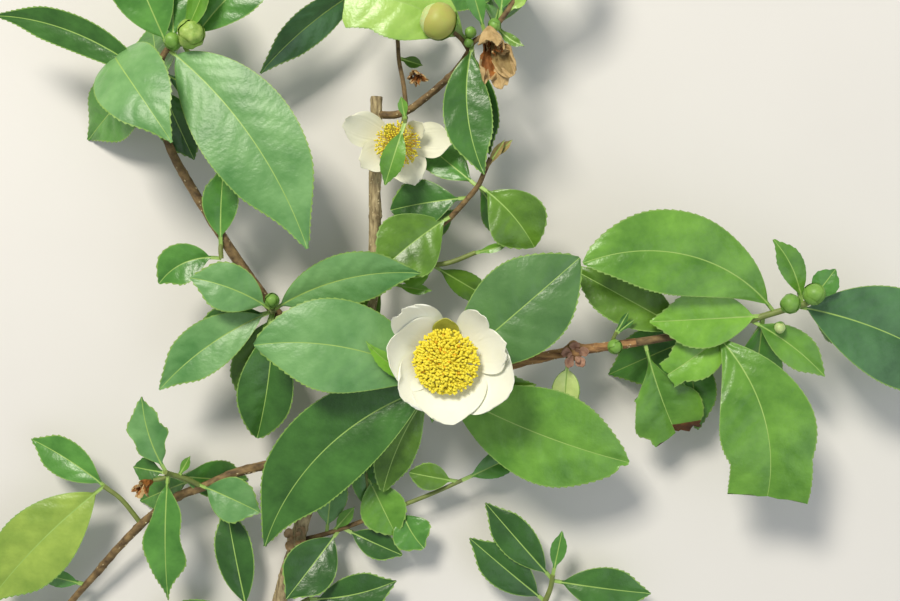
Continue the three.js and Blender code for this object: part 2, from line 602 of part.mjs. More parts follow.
// Blooms. Each petal stands round the bloom's axis at its own turn, length, width and opening.
const openPetal = { rise: 37, bend: -70 };
const smallPetal = { steps: { columns: 2, rows: 4 } };
const witheredPetal = { steps: { columns: 2, rows: 3 } };
const blooms = {
  centre_bloom: {
    foot: [-0.6, -19.4, 40.4],
    leanHeading: 225,
    lean: 8,
    stamens: { radius: 10.6, height: 10.6 },
    petals: [
      { turn: 166, length: 24, width: 34, ...openPetal },
      { turn: 128, length: 28, width: 19, ...openPetal },
      { turn: 54, length: 25, width: 12, ...openPetal, rise: 34 },
      { turn: 14, length: 26, width: 18, ...openPetal, rise: 36 },
      { turn: 338, length: 29, width: 32, ...openPetal, rise: 36 },
      { turn: 274, length: 24.5, width: 34, ...openPetal },
      { turn: 218, length: 22.5, width: 26, ...openPetal },
    ],
  },
  upper_bloom: {
    foot: [-17.3, 52.6, 27.7],
    leanHeading: 268,
    lean: 14,
    stamens: { radius: 7.8, height: 8 },
    petals: [
      { turn: 156, length: 20, width: 15, rise: 18, bend: -30, ...smallPetal },
      { turn: 208, length: 15, width: 14, rise: 22, bend: -30, ...smallPetal },
      { turn: 294, length: 15, width: 17, rise: 14, bend: -20, ...smallPetal },
      { turn: 6, length: 19, width: 15, rise: 16, bend: -30, ...smallPetal },
      { turn: 38, length: 13, width: 9, rise: 34, bend: -30, ...smallPetal },
    ],
  },
  withered_bloom: {
    foot: [13.2, 89.5, 42],
    leanHeading: 280,
    lean: 50,
    receptacle: { radius: 2, height: 1.6 }, // the knob that holds its petals
    petals: [
      { turn: 100, start: 2.2, length: 11, width: 15, rise: 80, bend: 0, ...witheredPetal },
      { turn: 252, length: 17, width: 12, rise: 62, bend: 10, ...witheredPetal },
      { turn: 284, length: 20, width: 8, rise: 60, bend: -10, ...witheredPetal },
      { turn: 320, length: 17, width: 12, rise: 64, bend: 12, ...witheredPetal },
      { turn: 10, length: 12, width: 10, rise: 70, bend: 16, ...witheredPetal },
    ],
  },
};

const group = new THREE.Group();
group.name = "tea_branch";

function addPiece(name, solid, look) {
  const material = new THREE.MeshStandardMaterial({ ...look, metalness: 0 });
  const mesh = new THREE.Mesh(geometryOf(solid), material);
  mesh.name = name;
  group.add(mesh);
}

function joined(solids) {
  return solids.reduce((whole, solid) => whole.add(solid));
}

// A limb with its knobs, or a bud that is a piece of its own, made thicker by grow.
function pieceSolid(name, grow = 0) {
  const bud = largeBuds[name];
  if (bud) return budSolid(bud.at, bud.radius + grow, bud.stretch);
  const { points, radii, sides, steps, knobs = [] } = limbs[name];
  return joined([
    limbSolid(curveThrough(points), ...radii, { sides, steps, grow }),
    ...knobs.map((knob) => budSolid(knob.at, knob.radius + grow, knob.stretch)),
  ]);
}

function cutClear(solid, names = []) {
  return largestBody(names.reduce((left, name) => left.subtract(pieceSolid(name, gap)), solid));
}

function addLimbs() {
  for (const [name, { joins }] of Object.entries(limbs)) {
    addPiece(name, cutClear(pieceSolid(name), joins), brownBark);
  }
  for (const name of Object.keys(largeBuds)) addPiece(name, pieceSolid(name), greenBud);
}

function addShoots() {
  for (const [name, { joins, twigs, buds = [], under }] of Object.entries(shoots)) {
    const parts = buds.map(({ at, radius, stretch }) => budSolid(at, radius, stretch));
    for (const [index, { points, radii, leaves, steps = 5 }] of twigs.entries()) {
      const line = curveThrough(points);
      const hidden = under && index === (under.twig ?? 0) ? underLeaves(under, line) : [];
      parts.push(limbSolid(line, ...radii, { sides: twigSides, steps }));
      for (const leaf of [...leaves, ...hidden]) parts.push(leafSolid(line.getPointAt(leaf.at), leaf));
    }
    addPiece(name, cutClear(joined(parts), joins), brightShoots.includes(name) ? brightLeaf : greenLeaf);
  }
}

// The dome of stamens, a spun outline that widens from the bloom's foot to its rounded top.
function stamenSolid({ radius, height }) {
  const points = domeOutline.map(([out, up]) => new THREE.Vector2(radius * out, height * up));
  const outline = new THREE.SplineCurve(points).getPoints(domeSteps.down);
  const profile = [new THREE.Vector2(0, points[0].y), ...outline, new THREE.Vector2(0, height)];
  const geometry = new THREE.LatheGeometry(profile, domeSteps.around);
  geometry.rotateX(Math.PI / 2);
  return solidOf(geometry);
}

// A petal is a flat pattern wrapped round the bloom's axis, on the bowl that its rise and bend give.
function petalSolid(petal, grow = 0) {
  const { columns, rows } = petal.steps ?? petalSteps;
  const geometry = new THREE.BoxGeometry(2, 1, petalThickness + 2 * grow, columns, rows, 1);
  const { rise, bend, length, width, start = petalStart } = petal;
  const line = midrib(new THREE.Vector3(start, 0, 0), { heading: 0, rise, bend, length });
  const position = geometry.attributes.position;
  for (let i = 0; i < position.count; i++) {
    const along = position.getY(i) + 0.5;
    const lift = position.getZ(i);
    const { place, face } = line[Math.round(along * traceSteps)];
    const round = Math.sin(Math.PI * Math.pow(along * petalEnd, petalBelly));
    const half = Math.max((width / 2) * Math.pow(round, petalFullness), petalFoot) + grow;
    const turn = radians(petal.turn) - (position.getX(i) * half) / (place.x + petalWrap);
    const out = place.x + face.x * lift;
    position.setXYZ(i, out * Math.cos(turn), out * Math.sin(turn), place.z + face.z * lift);
  }
  return solidOf(geometry);
}

function addBlooms() {
  for (const [name, bloom] of Object.entries(blooms)) {
    const parts = bloom.petals.map((petal) => petalSolid(petal));
    if (bloom.receptacle) parts.push(budSolid([0, 0, bloom.receptacle.height], bloom.receptacle.radius, 1));
    const petals = largestBody(joined(parts));
    const turned = radians(bloom.leanHeading);
    const leanAxis = new THREE.Vector3(-Math.sin(turned), Math.cos(turned), 0);
    const place = new THREE.Matrix4().makeRotationAxis(leanAxis, radians(bloom.lean));
    place.setPosition(seen(bloom.foot));
    const elements = place.toArray();
    const withered = !bloom.stamens;
    addPiece(`${name}_petals`, petals.transform(elements), withered ? witheredBrown : whitePetal);
    if (withered) continue;
    const petalSpace = joined(bloom.petals.map((petal) => petalSolid(petal, gap)));
    const stamens = largestBody(stamenSolid(bloom.stamens).subtract(petalSpace));
    addPiece(`${name}_stamens`, stamens.transform(elements), yellowStamens);
  }
}

addLimbs();
addShoots();
addBlooms();

// The origin is under the middle of the branch, on the ground.
const box = new THREE.Box3().setFromObject(group);
const middle = box.getCenter(new THREE.Vector3());
group.position.set(-middle.x, -middle.y, -box.min.z);

export default group;
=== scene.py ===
# A flowering tea branch, cut from its bush and lying on a pale table, seen from straight above.
import math

import bmesh
import bpy
import numpy as np
from mathutils import Matrix, Vector, noise


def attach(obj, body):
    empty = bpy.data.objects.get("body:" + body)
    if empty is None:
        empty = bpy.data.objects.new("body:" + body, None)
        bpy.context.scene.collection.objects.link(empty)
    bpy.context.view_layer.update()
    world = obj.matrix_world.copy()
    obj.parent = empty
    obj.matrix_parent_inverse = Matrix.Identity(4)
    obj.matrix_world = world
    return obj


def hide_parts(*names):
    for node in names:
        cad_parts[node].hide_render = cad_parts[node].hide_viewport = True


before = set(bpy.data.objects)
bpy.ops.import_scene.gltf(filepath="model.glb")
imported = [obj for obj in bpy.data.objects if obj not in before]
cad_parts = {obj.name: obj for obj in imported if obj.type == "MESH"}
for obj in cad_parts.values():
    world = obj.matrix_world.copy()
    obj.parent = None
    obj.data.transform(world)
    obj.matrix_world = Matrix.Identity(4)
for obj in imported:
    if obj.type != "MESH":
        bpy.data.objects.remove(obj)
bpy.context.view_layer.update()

# The branch is laid out in millimetres, as the eye sees it on the plane of the open bloom.
layout = dict(
    eyeHeight=417,  # from the plane of the bloom up to the eye
    bloomPlane=32,  # from the table up to that plane
    shift=(2.42, 9.69, -0.61),  # from the layout's origin to the model's
    metres=0.001,
)
camera = dict(lens=50, sensor=36, nearest=0.01)


def seen(point):
    spread = 1 - (point[2] - layout["bloomPlane"]) / layout["eyeHeight"]
    return np.array([point[0] * spread, point[1] * spread, point[2]], float)


def placed(points):
    return (np.asarray(points, float) + layout["shift"]) * layout["metres"]


def makeCamera():
    view = bpy.data.objects.new("camera", bpy.data.cameras.new("camera"))
    view.data.lens = camera["lens"]
    view.data.sensor_width = camera["sensor"]
    view.data.clip_start = camera["nearest"]
    view.location = placed([0, 0, layout["bloomPlane"] + layout["eyeHeight"]])
    bpy.context.collection.objects.link(view)
    bpy.context.scene.camera = view
    bpy.context.scene.view_settings.view_transform = "Standard"  # shows the greens as they are


makeCamera()
print("camera placed")


# Materials

def linear(hexColour):
    channels = [int(hexColour[i:i + 2], 16) / 255 for i in (1, 3, 5)]
    return [c / 12.92 if c <= 0.04045 else ((c + 0.055) / 1.055) ** 2.4 for c in channels] + [1.0]


# adds one node with its settings, and its inputs as values or as links from other nodes
def addNode(tree, kind, inputs=None, **settings):
    node = tree.nodes.new(kind)
    for key, value in settings.items():
        setattr(node, key, value)
    for key, value in (inputs or {}).items():
        if isinstance(value, bpy.types.NodeSocket):
            tree.links.new(value, node.inputs[key])
        else:
            node.inputs[key].default_value = value
    return node


surfaceShape = dict(patchDetail=4, patchRoughness=0.6, grainDetail=3, bumpStrength=0.6)


# A surface of two mottled colours and a fine bump. Sizes are real, in millimetres.
def surface(name, light, dark, mottle=12, mottleStretch=(1, 1, 1), grain=0.8, relief=0.1,
            contrast=0.5, **shader):
    material = bpy.data.materials.new(name)
    material.use_nodes = True
    tree, perMetre = material.node_tree, 1 / layout["metres"]
    place = addNode(tree, "ShaderNodeTexCoord").outputs["Object"]
    stretched = addNode(tree, "ShaderNodeMapping", {"Vector": place, "Scale": mottleStretch})
    patches = addNode(tree, "ShaderNodeTexNoise", {
        "Vector": stretched.outputs["Vector"], "Scale": perMetre / mottle,
        "Detail": surfaceShape["patchDetail"], "Roughness": surfaceShape["patchRoughness"]})
    spread = addNode(tree, "ShaderNodeMapRange", {
        "Value": patches.outputs["Fac"], "From Min": 0.5 - contrast / 2, "From Max": 0.5 + contrast / 2})
    # a mix node's sockets 6 and 7 are its two colours, and its output 2 is their mix
    colour = addNode(tree, "ShaderNodeMix", {
        0: spread.outputs["Result"], 6: linear(dark), 7: linear(light)}, data_type="RGBA")
    fine = addNode(tree, "ShaderNodeTexNoise", {
        "Vector": place, "Scale": perMetre / grain, "Detail": surfaceShape["grainDetail"]})
    bump = addNode(tree, "ShaderNodeBump", {
        "Height": fine.outputs["Fac"], "Strength": surfaceShape["bumpStrength"],
        "Distance": relief * layout["metres"]})
    principled = tree.nodes["Principled BSDF"]
    tree.links.new(colour.outputs[2], principled.inputs["Base Color"])
    tree.links.new(bump.outputs["Normal"], principled.inputs["Normal"])
    for key, value in shader.items():
        principled.inputs[key.replace("_", " ")].default_value = value
    return material


# Living tea leaf: a waxed, leathery skin. The wax gives broad soft highlights, and the skin under
# it is finely pitted. Each leaf takes one of these plain greens.
leafWax = dict(mottle=14, grain=1.2, relief=0.22, contrast=0.42, Roughness=0.32, IOR=1.5)
leafTints = dict(
    mid=("waxed leaf, mid green", "#649f44", "#3b7228"),
    dark=("waxed leaf, dark green", "#4b7e34", "#2e591f"),
    # a darker green for the low leaves that lie in shade: painted shade
    deep=("waxed leaf, green in painted shade", "#3c6b2a", "#234a19"),
    blue=("waxed leaf, blue green", "#558650", "#355f34"),
    olive=("waxed leaf, olive green", "#6c9831", "#40661a"),
    bright=("waxed leaf, bright green", "#76ab3f", "#4a7c25"),
    yellow=("waxed leaf, young yellow green", "#8bc346", "#60952c"),
    # a lighter green for leaves lit from behind and shining: painted light
    lit=("waxed leaf, spring green with painted backlight", "#a8cc64", "#87b348"),
    pale=("leaf turning pale", "#a2bd52", "#76963a"),
    wan=("leaf that has lost its green", "#dcec9c", "#bcd67a"),
)
materials = {key: surface(*colours, **leafWax) for key, colours in leafTints.items()}

# What a few materials share: a smooth skin, a velvety petal, pollen, a dry petal and a dry scale.
smoothSkin = dict(grain=0.5, relief=0.03, Roughness=0.45)
velvet = dict(mottle=9, grain=0.7, relief=0.03, contrast=0.8, Roughness=0.55, Sheen_Roughness=0.6)
pollen = dict(mottle=1.5, grain=0.3, relief=0.1, contrast=0.7, Roughness=0.8)
paper = dict(mottle=2.6, grain=0.5, relief=0.12, contrast=0.6, Roughness=0.75)
dryScale = dict(mottle=1.8, grain=0.3, relief=0.15)
materials |= dict(
    # On these leaves a paler, whitish green in broad soft patches stands in for the sheen of the sky on
    # their wax: a painted sheen.
    sheen=surface("waxed leaf, whitish green with painted sheen", "#88b873", "#447d3a",
                  **leafWax | dict(mottle=26, Roughness=0.4)),
    dull=surface("waxed leaf, grey green", "#6a9655", "#436d36", **leafWax | dict(mottle=26)),
    # The midrib and stalk are smooth and lighter than the blade.
    rib=surface("leaf midrib", "#a3c468", "#8db253", mottle=6, **smoothSkin),
    # The margin is paler where the teeth end in dry tips.
    rim=surface("leaf margin", "#8bb054", "#739a43", mottle=3, **smoothSkin),
    # The lower side carries no wax, so it is paler and matt.
    under=surface("leaf underside", "#7f9f55", "#678843", mottle=8, grain=0.6, relief=0.06, Roughness=0.65),
    # A dead edge is brown, dry and rough.
    dead=surface("dead leaf edge", "#7c4f28", "#46270f", mottle=3, grain=0.5, relief=0.15, Roughness=0.85),
    # Young twig: green skin that turns to thin red-brown bark.
    greenTwig=surface("young twig skin", "#86984a", "#66703a", mottle=5, grain=0.4, relief=0.08,
                      Roughness=0.55),
    brownTwig=surface("thin twig bark", "#937a4e", "#4c3a22", mottle=1.6, mottleStretch=(0.4, 0.6, 1),
                      grain=0.4, relief=0.16, contrast=0.36, Roughness=0.75),
    redTwig=surface("red-brown twig bark", "#b88d58", "#5f3c20", mottle=1.3, mottleStretch=(0.2, 1, 1),
                    grain=0.4, relief=0.2, contrast=0.32, Roughness=0.75),
    # Bark: dead cork over a growing stem, split along it, so it is matt with pale ridges.
    bark=surface("fissured bark", "#bfae84", "#695a3c", mottle=1, mottleStretch=(1, 0.24, 1),
                 grain=0.35, relief=0.24, contrast=0.36, Roughness=0.88),
    # Corky pores break through the bark as small pale dots.
    pore=surface("corky pore", "#d9cca6", "#a8976c", mottle=1, grain=0.3, Roughness=0.85),
    # A pruned end shows sawn wood, pale and open-grained.
    cut=surface("sawn wood", "#b39468", "#7d6242", mottle=1.2, grain=0.3, Roughness=0.8),
    # Petal: soft white tissue. Its skin is velvety with tiny cells, so it is pale also at a slant.
    petal=surface("velvety white petal", "#fbfcf0", "#f3f5de", **velvet, Sheen_Weight=0.4),
    creamPetal=surface("velvety cream petal", "#f5f4de", "#e6e7c8", **velvet, Sheen_Weight=0.2),
    filament=surface("stamen thread", "#f7e992", "#efd95e", mottle=2, grain=0.5, relief=0.02,
                     Roughness=0.5),
    # Anthers are covered in pollen grains, matt and powdery. The oldest, in the middle, are orange.
    anther=surface("pollen on anther", "#f4e94c", "#e9d42e", **pollen),
    oldAnther=surface("ripe pollen on anther", "#efbf22", "#dca01c", **pollen),
    # A closed leaf bud is wrapped in thin scales, brown where they have dried.
    awl=surface("leaf bud scale, drying", "#a9935c", "#71703a", mottle=2.5, grain=0.5, relief=0.08,
                contrast=0.4, Roughness=0.6),
    youngBud=surface("young bud scale", "#aec866", "#7ea540", mottle=2.2, grain=0.6, contrast=0.4,
                     Roughness=0.5),
    flushedBud=surface("pale bud, flushed by the sun", "#a9b84e", "#b4a35e", mottle=9, grain=0.6,
                       relief=0.03, Roughness=0.5),
    bud=surface("green bud scale", "#86b24c", "#64933a", mottle=3, **smoothSkin | dict(relief=0.04)),
    sepal=surface("olive sepal", "#c2c452", "#a6aa3e", mottle=3, grain=0.5, relief=0.04, Roughness=0.5),
    paleBud=surface("closed petals of a bud", "#d3dda0", "#b3c779", mottle=5, grain=0.6, relief=0.03,
                    Roughness=0.42, Subsurface_Weight=0.15, Subsurface_Scale=0.002),
    # Withered petal: dried to thin brown paper, paler at its torn rim.
    withered=surface("dried petal", "#b8742e", "#5c3514", **paper | dict(relief=0.15)),
    dryRim=surface("dried petal rim", "#cfb581", "#9a7c4a", **paper),
    dryOlive=surface("dried petal, olive brown", "#a8925c", "#7a6236",
                     **paper | dict(mottle=3, contrast=0.5)),
    # A dry scale is dead and grey-brown, with a paler worn edge.
    scale=surface("dry bud scale", "#bf9a80", "#80553f", **dryScale, Roughness=0.8),
    wornScale=surface("weathered bud scale", "#b79d78", "#85683f", **dryScale, Roughness=0.85),
)
print("materials made:", len(materials))


# Curves

# An even run of points along a smooth curve through the layout's points. The square roots space
# the knots so that the curve makes no loops.
def smoothPath(points, count, finest=30):
    knots = np.array([seen(p) for p in points])
    knots = np.vstack([2 * knots[0] - knots[1], knots, 2 * knots[-1] - knots[-2]])
    path = []
    for a, b, c, d in zip(knots, knots[1:], knots[2:], knots[3:]):
        u, v, w = (np.linalg.norm(q - p) ** 0.5 for p, q in ((a, b), (b, c), (c, d)))
        start = ((b - a) / u - (c - a) / (u + v) + (c - b) / v) * v
        end = ((c - b) / v - (d - b) / (v + w) + (d - c) / w) * v
        t = np.linspace(0, 1, finest, endpoint=False)[:, None]
        square, cube = 3 * (c - b) - 2 * start - end, 2 * (b - c) + start + end
        path.append(b + start * t + square * t**2 + cube * t**3)
    path = np.vstack(path + [knots[-2][None]])
    run = np.concatenate([[0], np.cumsum(np.linalg.norm(np.diff(path, axis=0), axis=1))])
    steps = np.linspace(0, run[-1], count)
    return np.stack([np.interp(steps, run, path[:, k]) for k in range(3)], axis=1)


def pathLength(path):
    return np.linalg.norm(np.diff(path, axis=0), axis=1).sum()


def eased(low, high, value):
    t = np.clip((value - low) / (high - low), 0, 1)
    return t * t * (3 - 2 * t)


# the midrib of a blade with its directions: sway turns it sideways, bend turns it down, roll tips it
def midrib(base, blade, steps):
    share = np.linspace(-0.5, 0.5, steps + 1)
    h = np.radians(blade["heading"] + blade.get("sway", 0) * share)
    p = np.radians(blade["rise"] - blade["bend"] * share)
    r = np.radians(blade.get("roll", 0) + blade.get("twist", 0) * share)[:, None]
    along = np.stack([np.cos(p) * np.cos(h), np.cos(p) * np.sin(h), np.sin(p)], axis=1)
    level = np.stack([np.sin(h), -np.cos(h), 0 * h], axis=1)
    side = level * np.cos(r) + np.cross(level, along) * np.sin(r)
    run = np.vstack([np.zeros(3), np.cumsum(along[:-1], axis=0)]) * blade["length"] / steps
    return base + run, side, np.cross(side, along), along


# Meshes from arrays

# A closed thin blade from a grid of upper points: a second sheet below it, joined at the rim.
# Returns points, faces, a material number for each face, and which points lie on the rim.
def closedBlade(upper, lower, topLook, lowLook):
    rows, columns = upper.shape[:2]
    top = np.arange(rows * columns).reshape(rows, columns)
    low = top.copy()
    low[:, 1:-1] = rows * columns + np.arange(rows * (columns - 2)).reshape(rows, columns - 2)
    points = np.vstack([upper.reshape(-1, 3), lower[:, 1:-1].reshape(-1, 3)])
    upFaces = np.stack([top[:-1, :-1], top[:-1, 1:], top[1:, 1:], top[1:, :-1]], axis=-1).reshape(-1, 4)
    downFaces = np.stack([low[:-1, :-1], low[1:, :-1], low[1:, 1:], low[:-1, 1:]], axis=-1).reshape(-1, 4)
    ends = [list(low[0]) + list(top[0, -2:0:-1]), list(top[-1]) + list(low[-1, -2:0:-1])]
    faces = upFaces.tolist() + downFaces.tolist() + ends
    looks = [*topLook.reshape(-1), *lowLook.reshape(-1), lowLook[0, 0], topLook[-1, 0]]
    rim = np.zeros(len(points), bool)
    rim[top[:, [0, -1]]] = True
    rim[top[[0, -1]]] = True
    rim[low[[0, -1]]] = True
    return points, faces, looks, rim


# joins such arrays to one mesh piece, in metres
def joinedPiece(name, parts, looks, slot, replaced=None):
    points, faces, numbers, rim, count = [], [], [], [], 0
    for part in parts:
        points.append(part[0])
        faces += [[i + count for i in face] for face in part[1]]
        numbers += part[2]
        rim.append(part[3])
        count += len(part[0])
    mesh = bpy.data.meshes.new(name)
    mesh.from_pydata(placed(np.vstack(points)), [], faces)
    mesh.polygons.foreach_set("material_index", np.array(numbers, np.int32))
    mesh.polygons.foreach_set("use_smooth", np.ones(len(faces), bool))
    ends = np.zeros(len(mesh.edges) * 2, np.int32)
    mesh.edges.foreach_get("vertices", ends)
    onRim = np.concatenate(rim)[ends.reshape(-1, 2)].all(axis=1)
    mesh.attributes.new("sharp_edge", "BOOLEAN", "EDGE").data.foreach_set("value", onRim)
    for look in looks:
        mesh.materials.append(materials[look])
    return finished(name, mesh, slot, replaced)


def finished(name, mesh, slot, replaced=None):
    mesh.update()
    piece = bpy.data.objects.new(name, mesh)
    bpy.context.collection.objects.link(piece)
    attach(piece, "root")
    if replaced:
        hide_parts(replaced)
    return piece


# Leaves

leafShape = dict(
    rowStep=0.68,  # along the blade
    toothRows=3,
    leastRows=9,
    halfColumns=((20, 8), (8, 6), (0, 3)),  # a leaf wider than the first has as many in each half
    fullness=0.74,  # less than 1 gives broad shoulders
    tip=0.04,  # how wide the very tip is, as a share of the leaf
    tornTip=0.1,  # a leaf whose tip is as wide as this is eaten or torn there
    drawn=0.45,  # how much more than an oval a leaf narrows towards its tip
    drawnFrom=0.66,
    stalkLength=4,
    stalkShare=0.2,  # of the shortest leaves
    stalkHalfWidth=0.62,
    stalkEnds=0.12,  # the share of the leaf over which the stalk thins out
    ribHalfWidth=0.24,
    ribTaper=0.6,
    toothHeight=0.3,
    toothReach=0.4,  # how far a tooth leans towards the tip
    toothed=(0.08, 0.2, 0.97),  # where the teeth start, are full and end
    toothWidth=14,  # a leaf as wide as this has full teeth
    edgedFrom=9,  # a leaf as wide as this has a pale margin
    rimWidth=0.22,
    fold=10,
    curl=0.1,  # how far the halves turn down again, and how much that varies
    curlVaries=0.08,
    bladeThickness=0.32,
    stalkThickness=1.1,
    ribThickness=0.55,
    ribSpread=0.7,
)
leafSkin = dict(
    veinSpacing=8,
    leastVeins=4,
    veinLean=(0.12, 0.09),  # a side vein turns forward, and more so near the rim
    veinDepth=0.26,
    veinFade=0.12,  # how near the midrib a vein is at its full depth
    veinWidth=0.8,
    veinedWidth=18,  # a leaf as wide as this has full veins
    swell=0.3,  # how far the skin stands up between two veins
    furrowDepth=0.3,  # along the midrib
    furrowWidth=1.2,
    waveHeight=0.32,
    waveTurns=1.6,
    waveNarrows=0.07,  # a crumpled leaf is narrower where its rim is turned
    waveVaries=(0.6, 0.9),  # the least and how much more chance may add
    wavyWidth=22,  # a leaf as wide as this has full waves, and a wider one higher ones
    mostWave=1.4,
    waveShift=0.4,  # of a turn, from one half to the other
)
leafDamage = dict(
    notchAt=0.965,  # a bite near the tip of a leaf
    notchDepth=0.6,
    notchWidth=1.3,
    tornReach=1.9,  # how ragged an eaten end is
    tornRows=(1, 0.5, 0.2),  # how far the last rows follow the torn end
    tornEvened=(0.3, 0.4, 0.3),  # the shares that a place takes from its neighbours and itself
    tornMiddle=0.6,
    deadRows=6,
    deadFrom=(0.6, 0.86),  # where a dying half grows longer, and where it curls under
    deadSlant=0.36,
    deadCurl=1.8,
    deadRipple=(0.5, 1.7),  # how high and how fine it is
)


# how wide the blade is at each share of its length, and how far its teeth stand out
def bladeOutline(leaf, u, share):
    shape, width, tip = leafShape, leaf["width"], leaf.get("tip", leafShape["tip"])
    skew = math.log(0.5) / math.log(leaf.get("belly", 0.5))
    oval = np.abs(np.sin(np.pi * u**skew)) ** shape["fullness"]
    drawn = leaf.get("drawn", 0 if tip >= shape["tornTip"] else shape["drawn"])
    oval = oval * (1 - drawn * eased(shape["drawnFrom"], 1, u))
    half = np.maximum(width / 2 * oval, np.where(share < 0.5, shape["stalkHalfWidth"], width / 2 * tip))
    start, full, end = shape["toothed"]
    tooth = np.arange(len(u)) % shape["toothRows"] / (shape["toothRows"] - 1)
    tooth = tooth * eased(start, full, u) * (u < end)
    return half, tooth * min(1, width / shape["toothWidth"])


# the blade's columns, from one rim through the midrib to the other
def bladeColumns(leaf, u, half):
    shape = leafShape
    count = next(count for least, count in shape["halfColumns"] if leaf["width"] > least)
    rib = np.minimum(shape["ribHalfWidth"] * (1 - shape["ribTaper"] * u), half * 0.5)[:, None]
    out = rib + (half[:, None] - rib) * np.linspace(0, 1, count + 1)[None, :]
    if leaf["width"] > shape["edgedFrom"]:
        margin = np.maximum(out[:, -1:] - shape["rimWidth"], out[:, -2:-1] * 0.5 + out[:, -1:] * 0.5)
        out = np.hstack([out[:, :-1], margin, out[:, -1:]])
    return np.hstack([-out[:, ::-1], np.zeros((len(u), 1)), out])


# The blade's height over its midrib, and how much narrower its waves make it. Side veins lie in
# furrows, which start at the midrib and turn forward near the rim.
def bladeHeight(leaf, u, half, across, random):
    skin, length, width, crumpled = leafSkin, leaf["length"], leaf["width"], leaf.get("wave", 1)
    a = np.abs(across) / half
    veins = max(skin["leastVeins"], round(length / skin["veinSpacing"]))
    lean, curve = skin["veinLean"]
    phase = (u - lean * a - curve * a**2) * veins + 0.5 * (across < 0) + random.random()
    offVein = np.abs(phase - np.round(phase)) / veins * length
    fade = eased(0, skin["veinFade"], a) * (1 - a**4) * np.sin(np.pi * np.clip(u, 0.02, 0.98)) ** 0.5
    fade = fade * min(1, width / skin["veinedWidth"])
    relief = -skin["veinDepth"] * np.exp(-(offVein / skin["veinWidth"]) ** 2) * fade
    relief -= skin["swell"] * 0.5 * np.cos(2 * np.pi * phase) * fade * a
    furrow = np.exp(-(across / skin["furrowWidth"]) ** 2) * (u > 0) * (half > 1)
    relief -= skin["furrowDepth"] * furrow
    least, more = skin["waveVaries"]
    wave = skin["waveHeight"] * (least + more * random.random())
    wave *= min(skin["mostWave"], width / skin["wavyWidth"]) * crumpled
    turns = skin["waveTurns"] * (1 + random.random())
    swing = np.sin(2 * np.pi * (turns * u + skin["waveShift"] * (across > 0) + random.random()))
    relief += wave * swing * a**3
    curl = leafShape["curlVaries"] * (random.random() - 0.5) - leafShape["curl"]
    slope = math.tan(math.radians(leaf.get("fold", leafShape["fold"])))
    narrower = 1 - skin["waveNarrows"] * (crumpled - 1) * swing * a
    return half * (slope * a + curl * a**2) + relief, narrower


# a blade with its end dead, bitten or torn, as the leaf says
def damaged(leaf, u, a, across, forward, height, random):
    damage = leafDamage
    if leaf.get("dead"):
        longer, curled = (eased(start, 1, u) for start in damage["deadFrom"])
        forward = forward - damage["deadSlant"] * np.minimum(across, 0) * longer
        high, fine = damage["deadRipple"]
        curled = curled * (1 + high * np.sin(fine * across))
        height = height - damage["deadCurl"] * (across < 0) * curled
    if leaf.get("notched"):
        off = (u - damage["notchAt"]) * leaf["length"] / damage["notchWidth"]
        bite = damage["notchDepth"] * np.exp(-off**2)
        across = np.where(across > 0, across * (1 - bite * a), across)
    if leaf.get("tip", 0) >= leafShape["tornTip"]:
        bite = np.convolve(random.random(forward.shape[1] + 2), damage["tornEvened"], "valid")
        bite = bite - damage["tornMiddle"]
        for back, part in enumerate(damage["tornRows"]):
            forward[-1 - back] += damage["tornReach"] * part * bite
    return across, forward, height


def leafArrays(base, leaf, looks, seed):
    shape, random, length = leafShape, np.random.default_rng(seed), leaf["length"]
    rows = max(shape["leastRows"], int(length / shape["rowStep"]))
    place, side, face, along = (grid[:, None] for grid in midrib(base, leaf, rows))
    share = np.linspace(0, 1, rows + 1)
    stalk = min(shape["stalkLength"] / length, shape["stalkShare"])
    u = np.clip((share - stalk) / (1 - stalk), 0, 1)
    half, tooth = bladeOutline(leaf, u, share)
    across = bladeColumns(leaf, u, half)
    u, half = u[:, None], half[:, None]
    a = np.abs(across) / half
    height, narrower = bladeHeight(leaf, u + 0 * a, half, across, random)
    across = across * narrower
    rim = np.zeros_like(a)
    rim[:, [0, -1]] = tooth[:, None]
    across = across + np.sign(across) * rim * shape["toothHeight"]
    across, forward, height = damaged(leaf, u, a, across, rim * shape["toothReach"], height, random)
    upper = place + side * across[..., None] + face * height[..., None] + along * forward[..., None]
    thinning = eased(stalk, stalk + shape["stalkEnds"], share)[:, None]
    thick = shape["stalkThickness"] + (shape["bladeThickness"] - shape["stalkThickness"]) * thinning
    ribbed = shape["ribThickness"] * np.exp(-(across / shape["ribSpread"]) ** 2)
    lower = upper - face * (thick + ribbed * (1 - shape["ribTaper"] * u))[..., None]
    return closedBlade(upper, lower, *leafLooks(leaf, looks, rows, a.shape[1] - 1, int(stalk * rows)))


# the number of the material of each face above and below
def leafLooks(leaf, looks, rows, columns, stalkRows):
    top = np.full((rows, columns), looks.index(leaf["tint"]), np.int32)
    low = np.full((rows, columns), looks.index("under"), np.int32)
    middle = columns // 2
    top[:, middle - 1:middle + 1] = looks.index("rib")
    if leaf["width"] > leafShape["edgedFrom"]:
        top[:, [0, -1]] = looks.index("rim")
    top[:stalkRows] = looks.index("rib")
    low[:stalkRows] = looks.index("rib")
    if leaf.get("dead"):
        top[-leafDamage["deadRows"]:, :middle] = looks.index("dead")
        low[-leafDamage["deadRows"]:] = looks.index("dead")
    return top, low


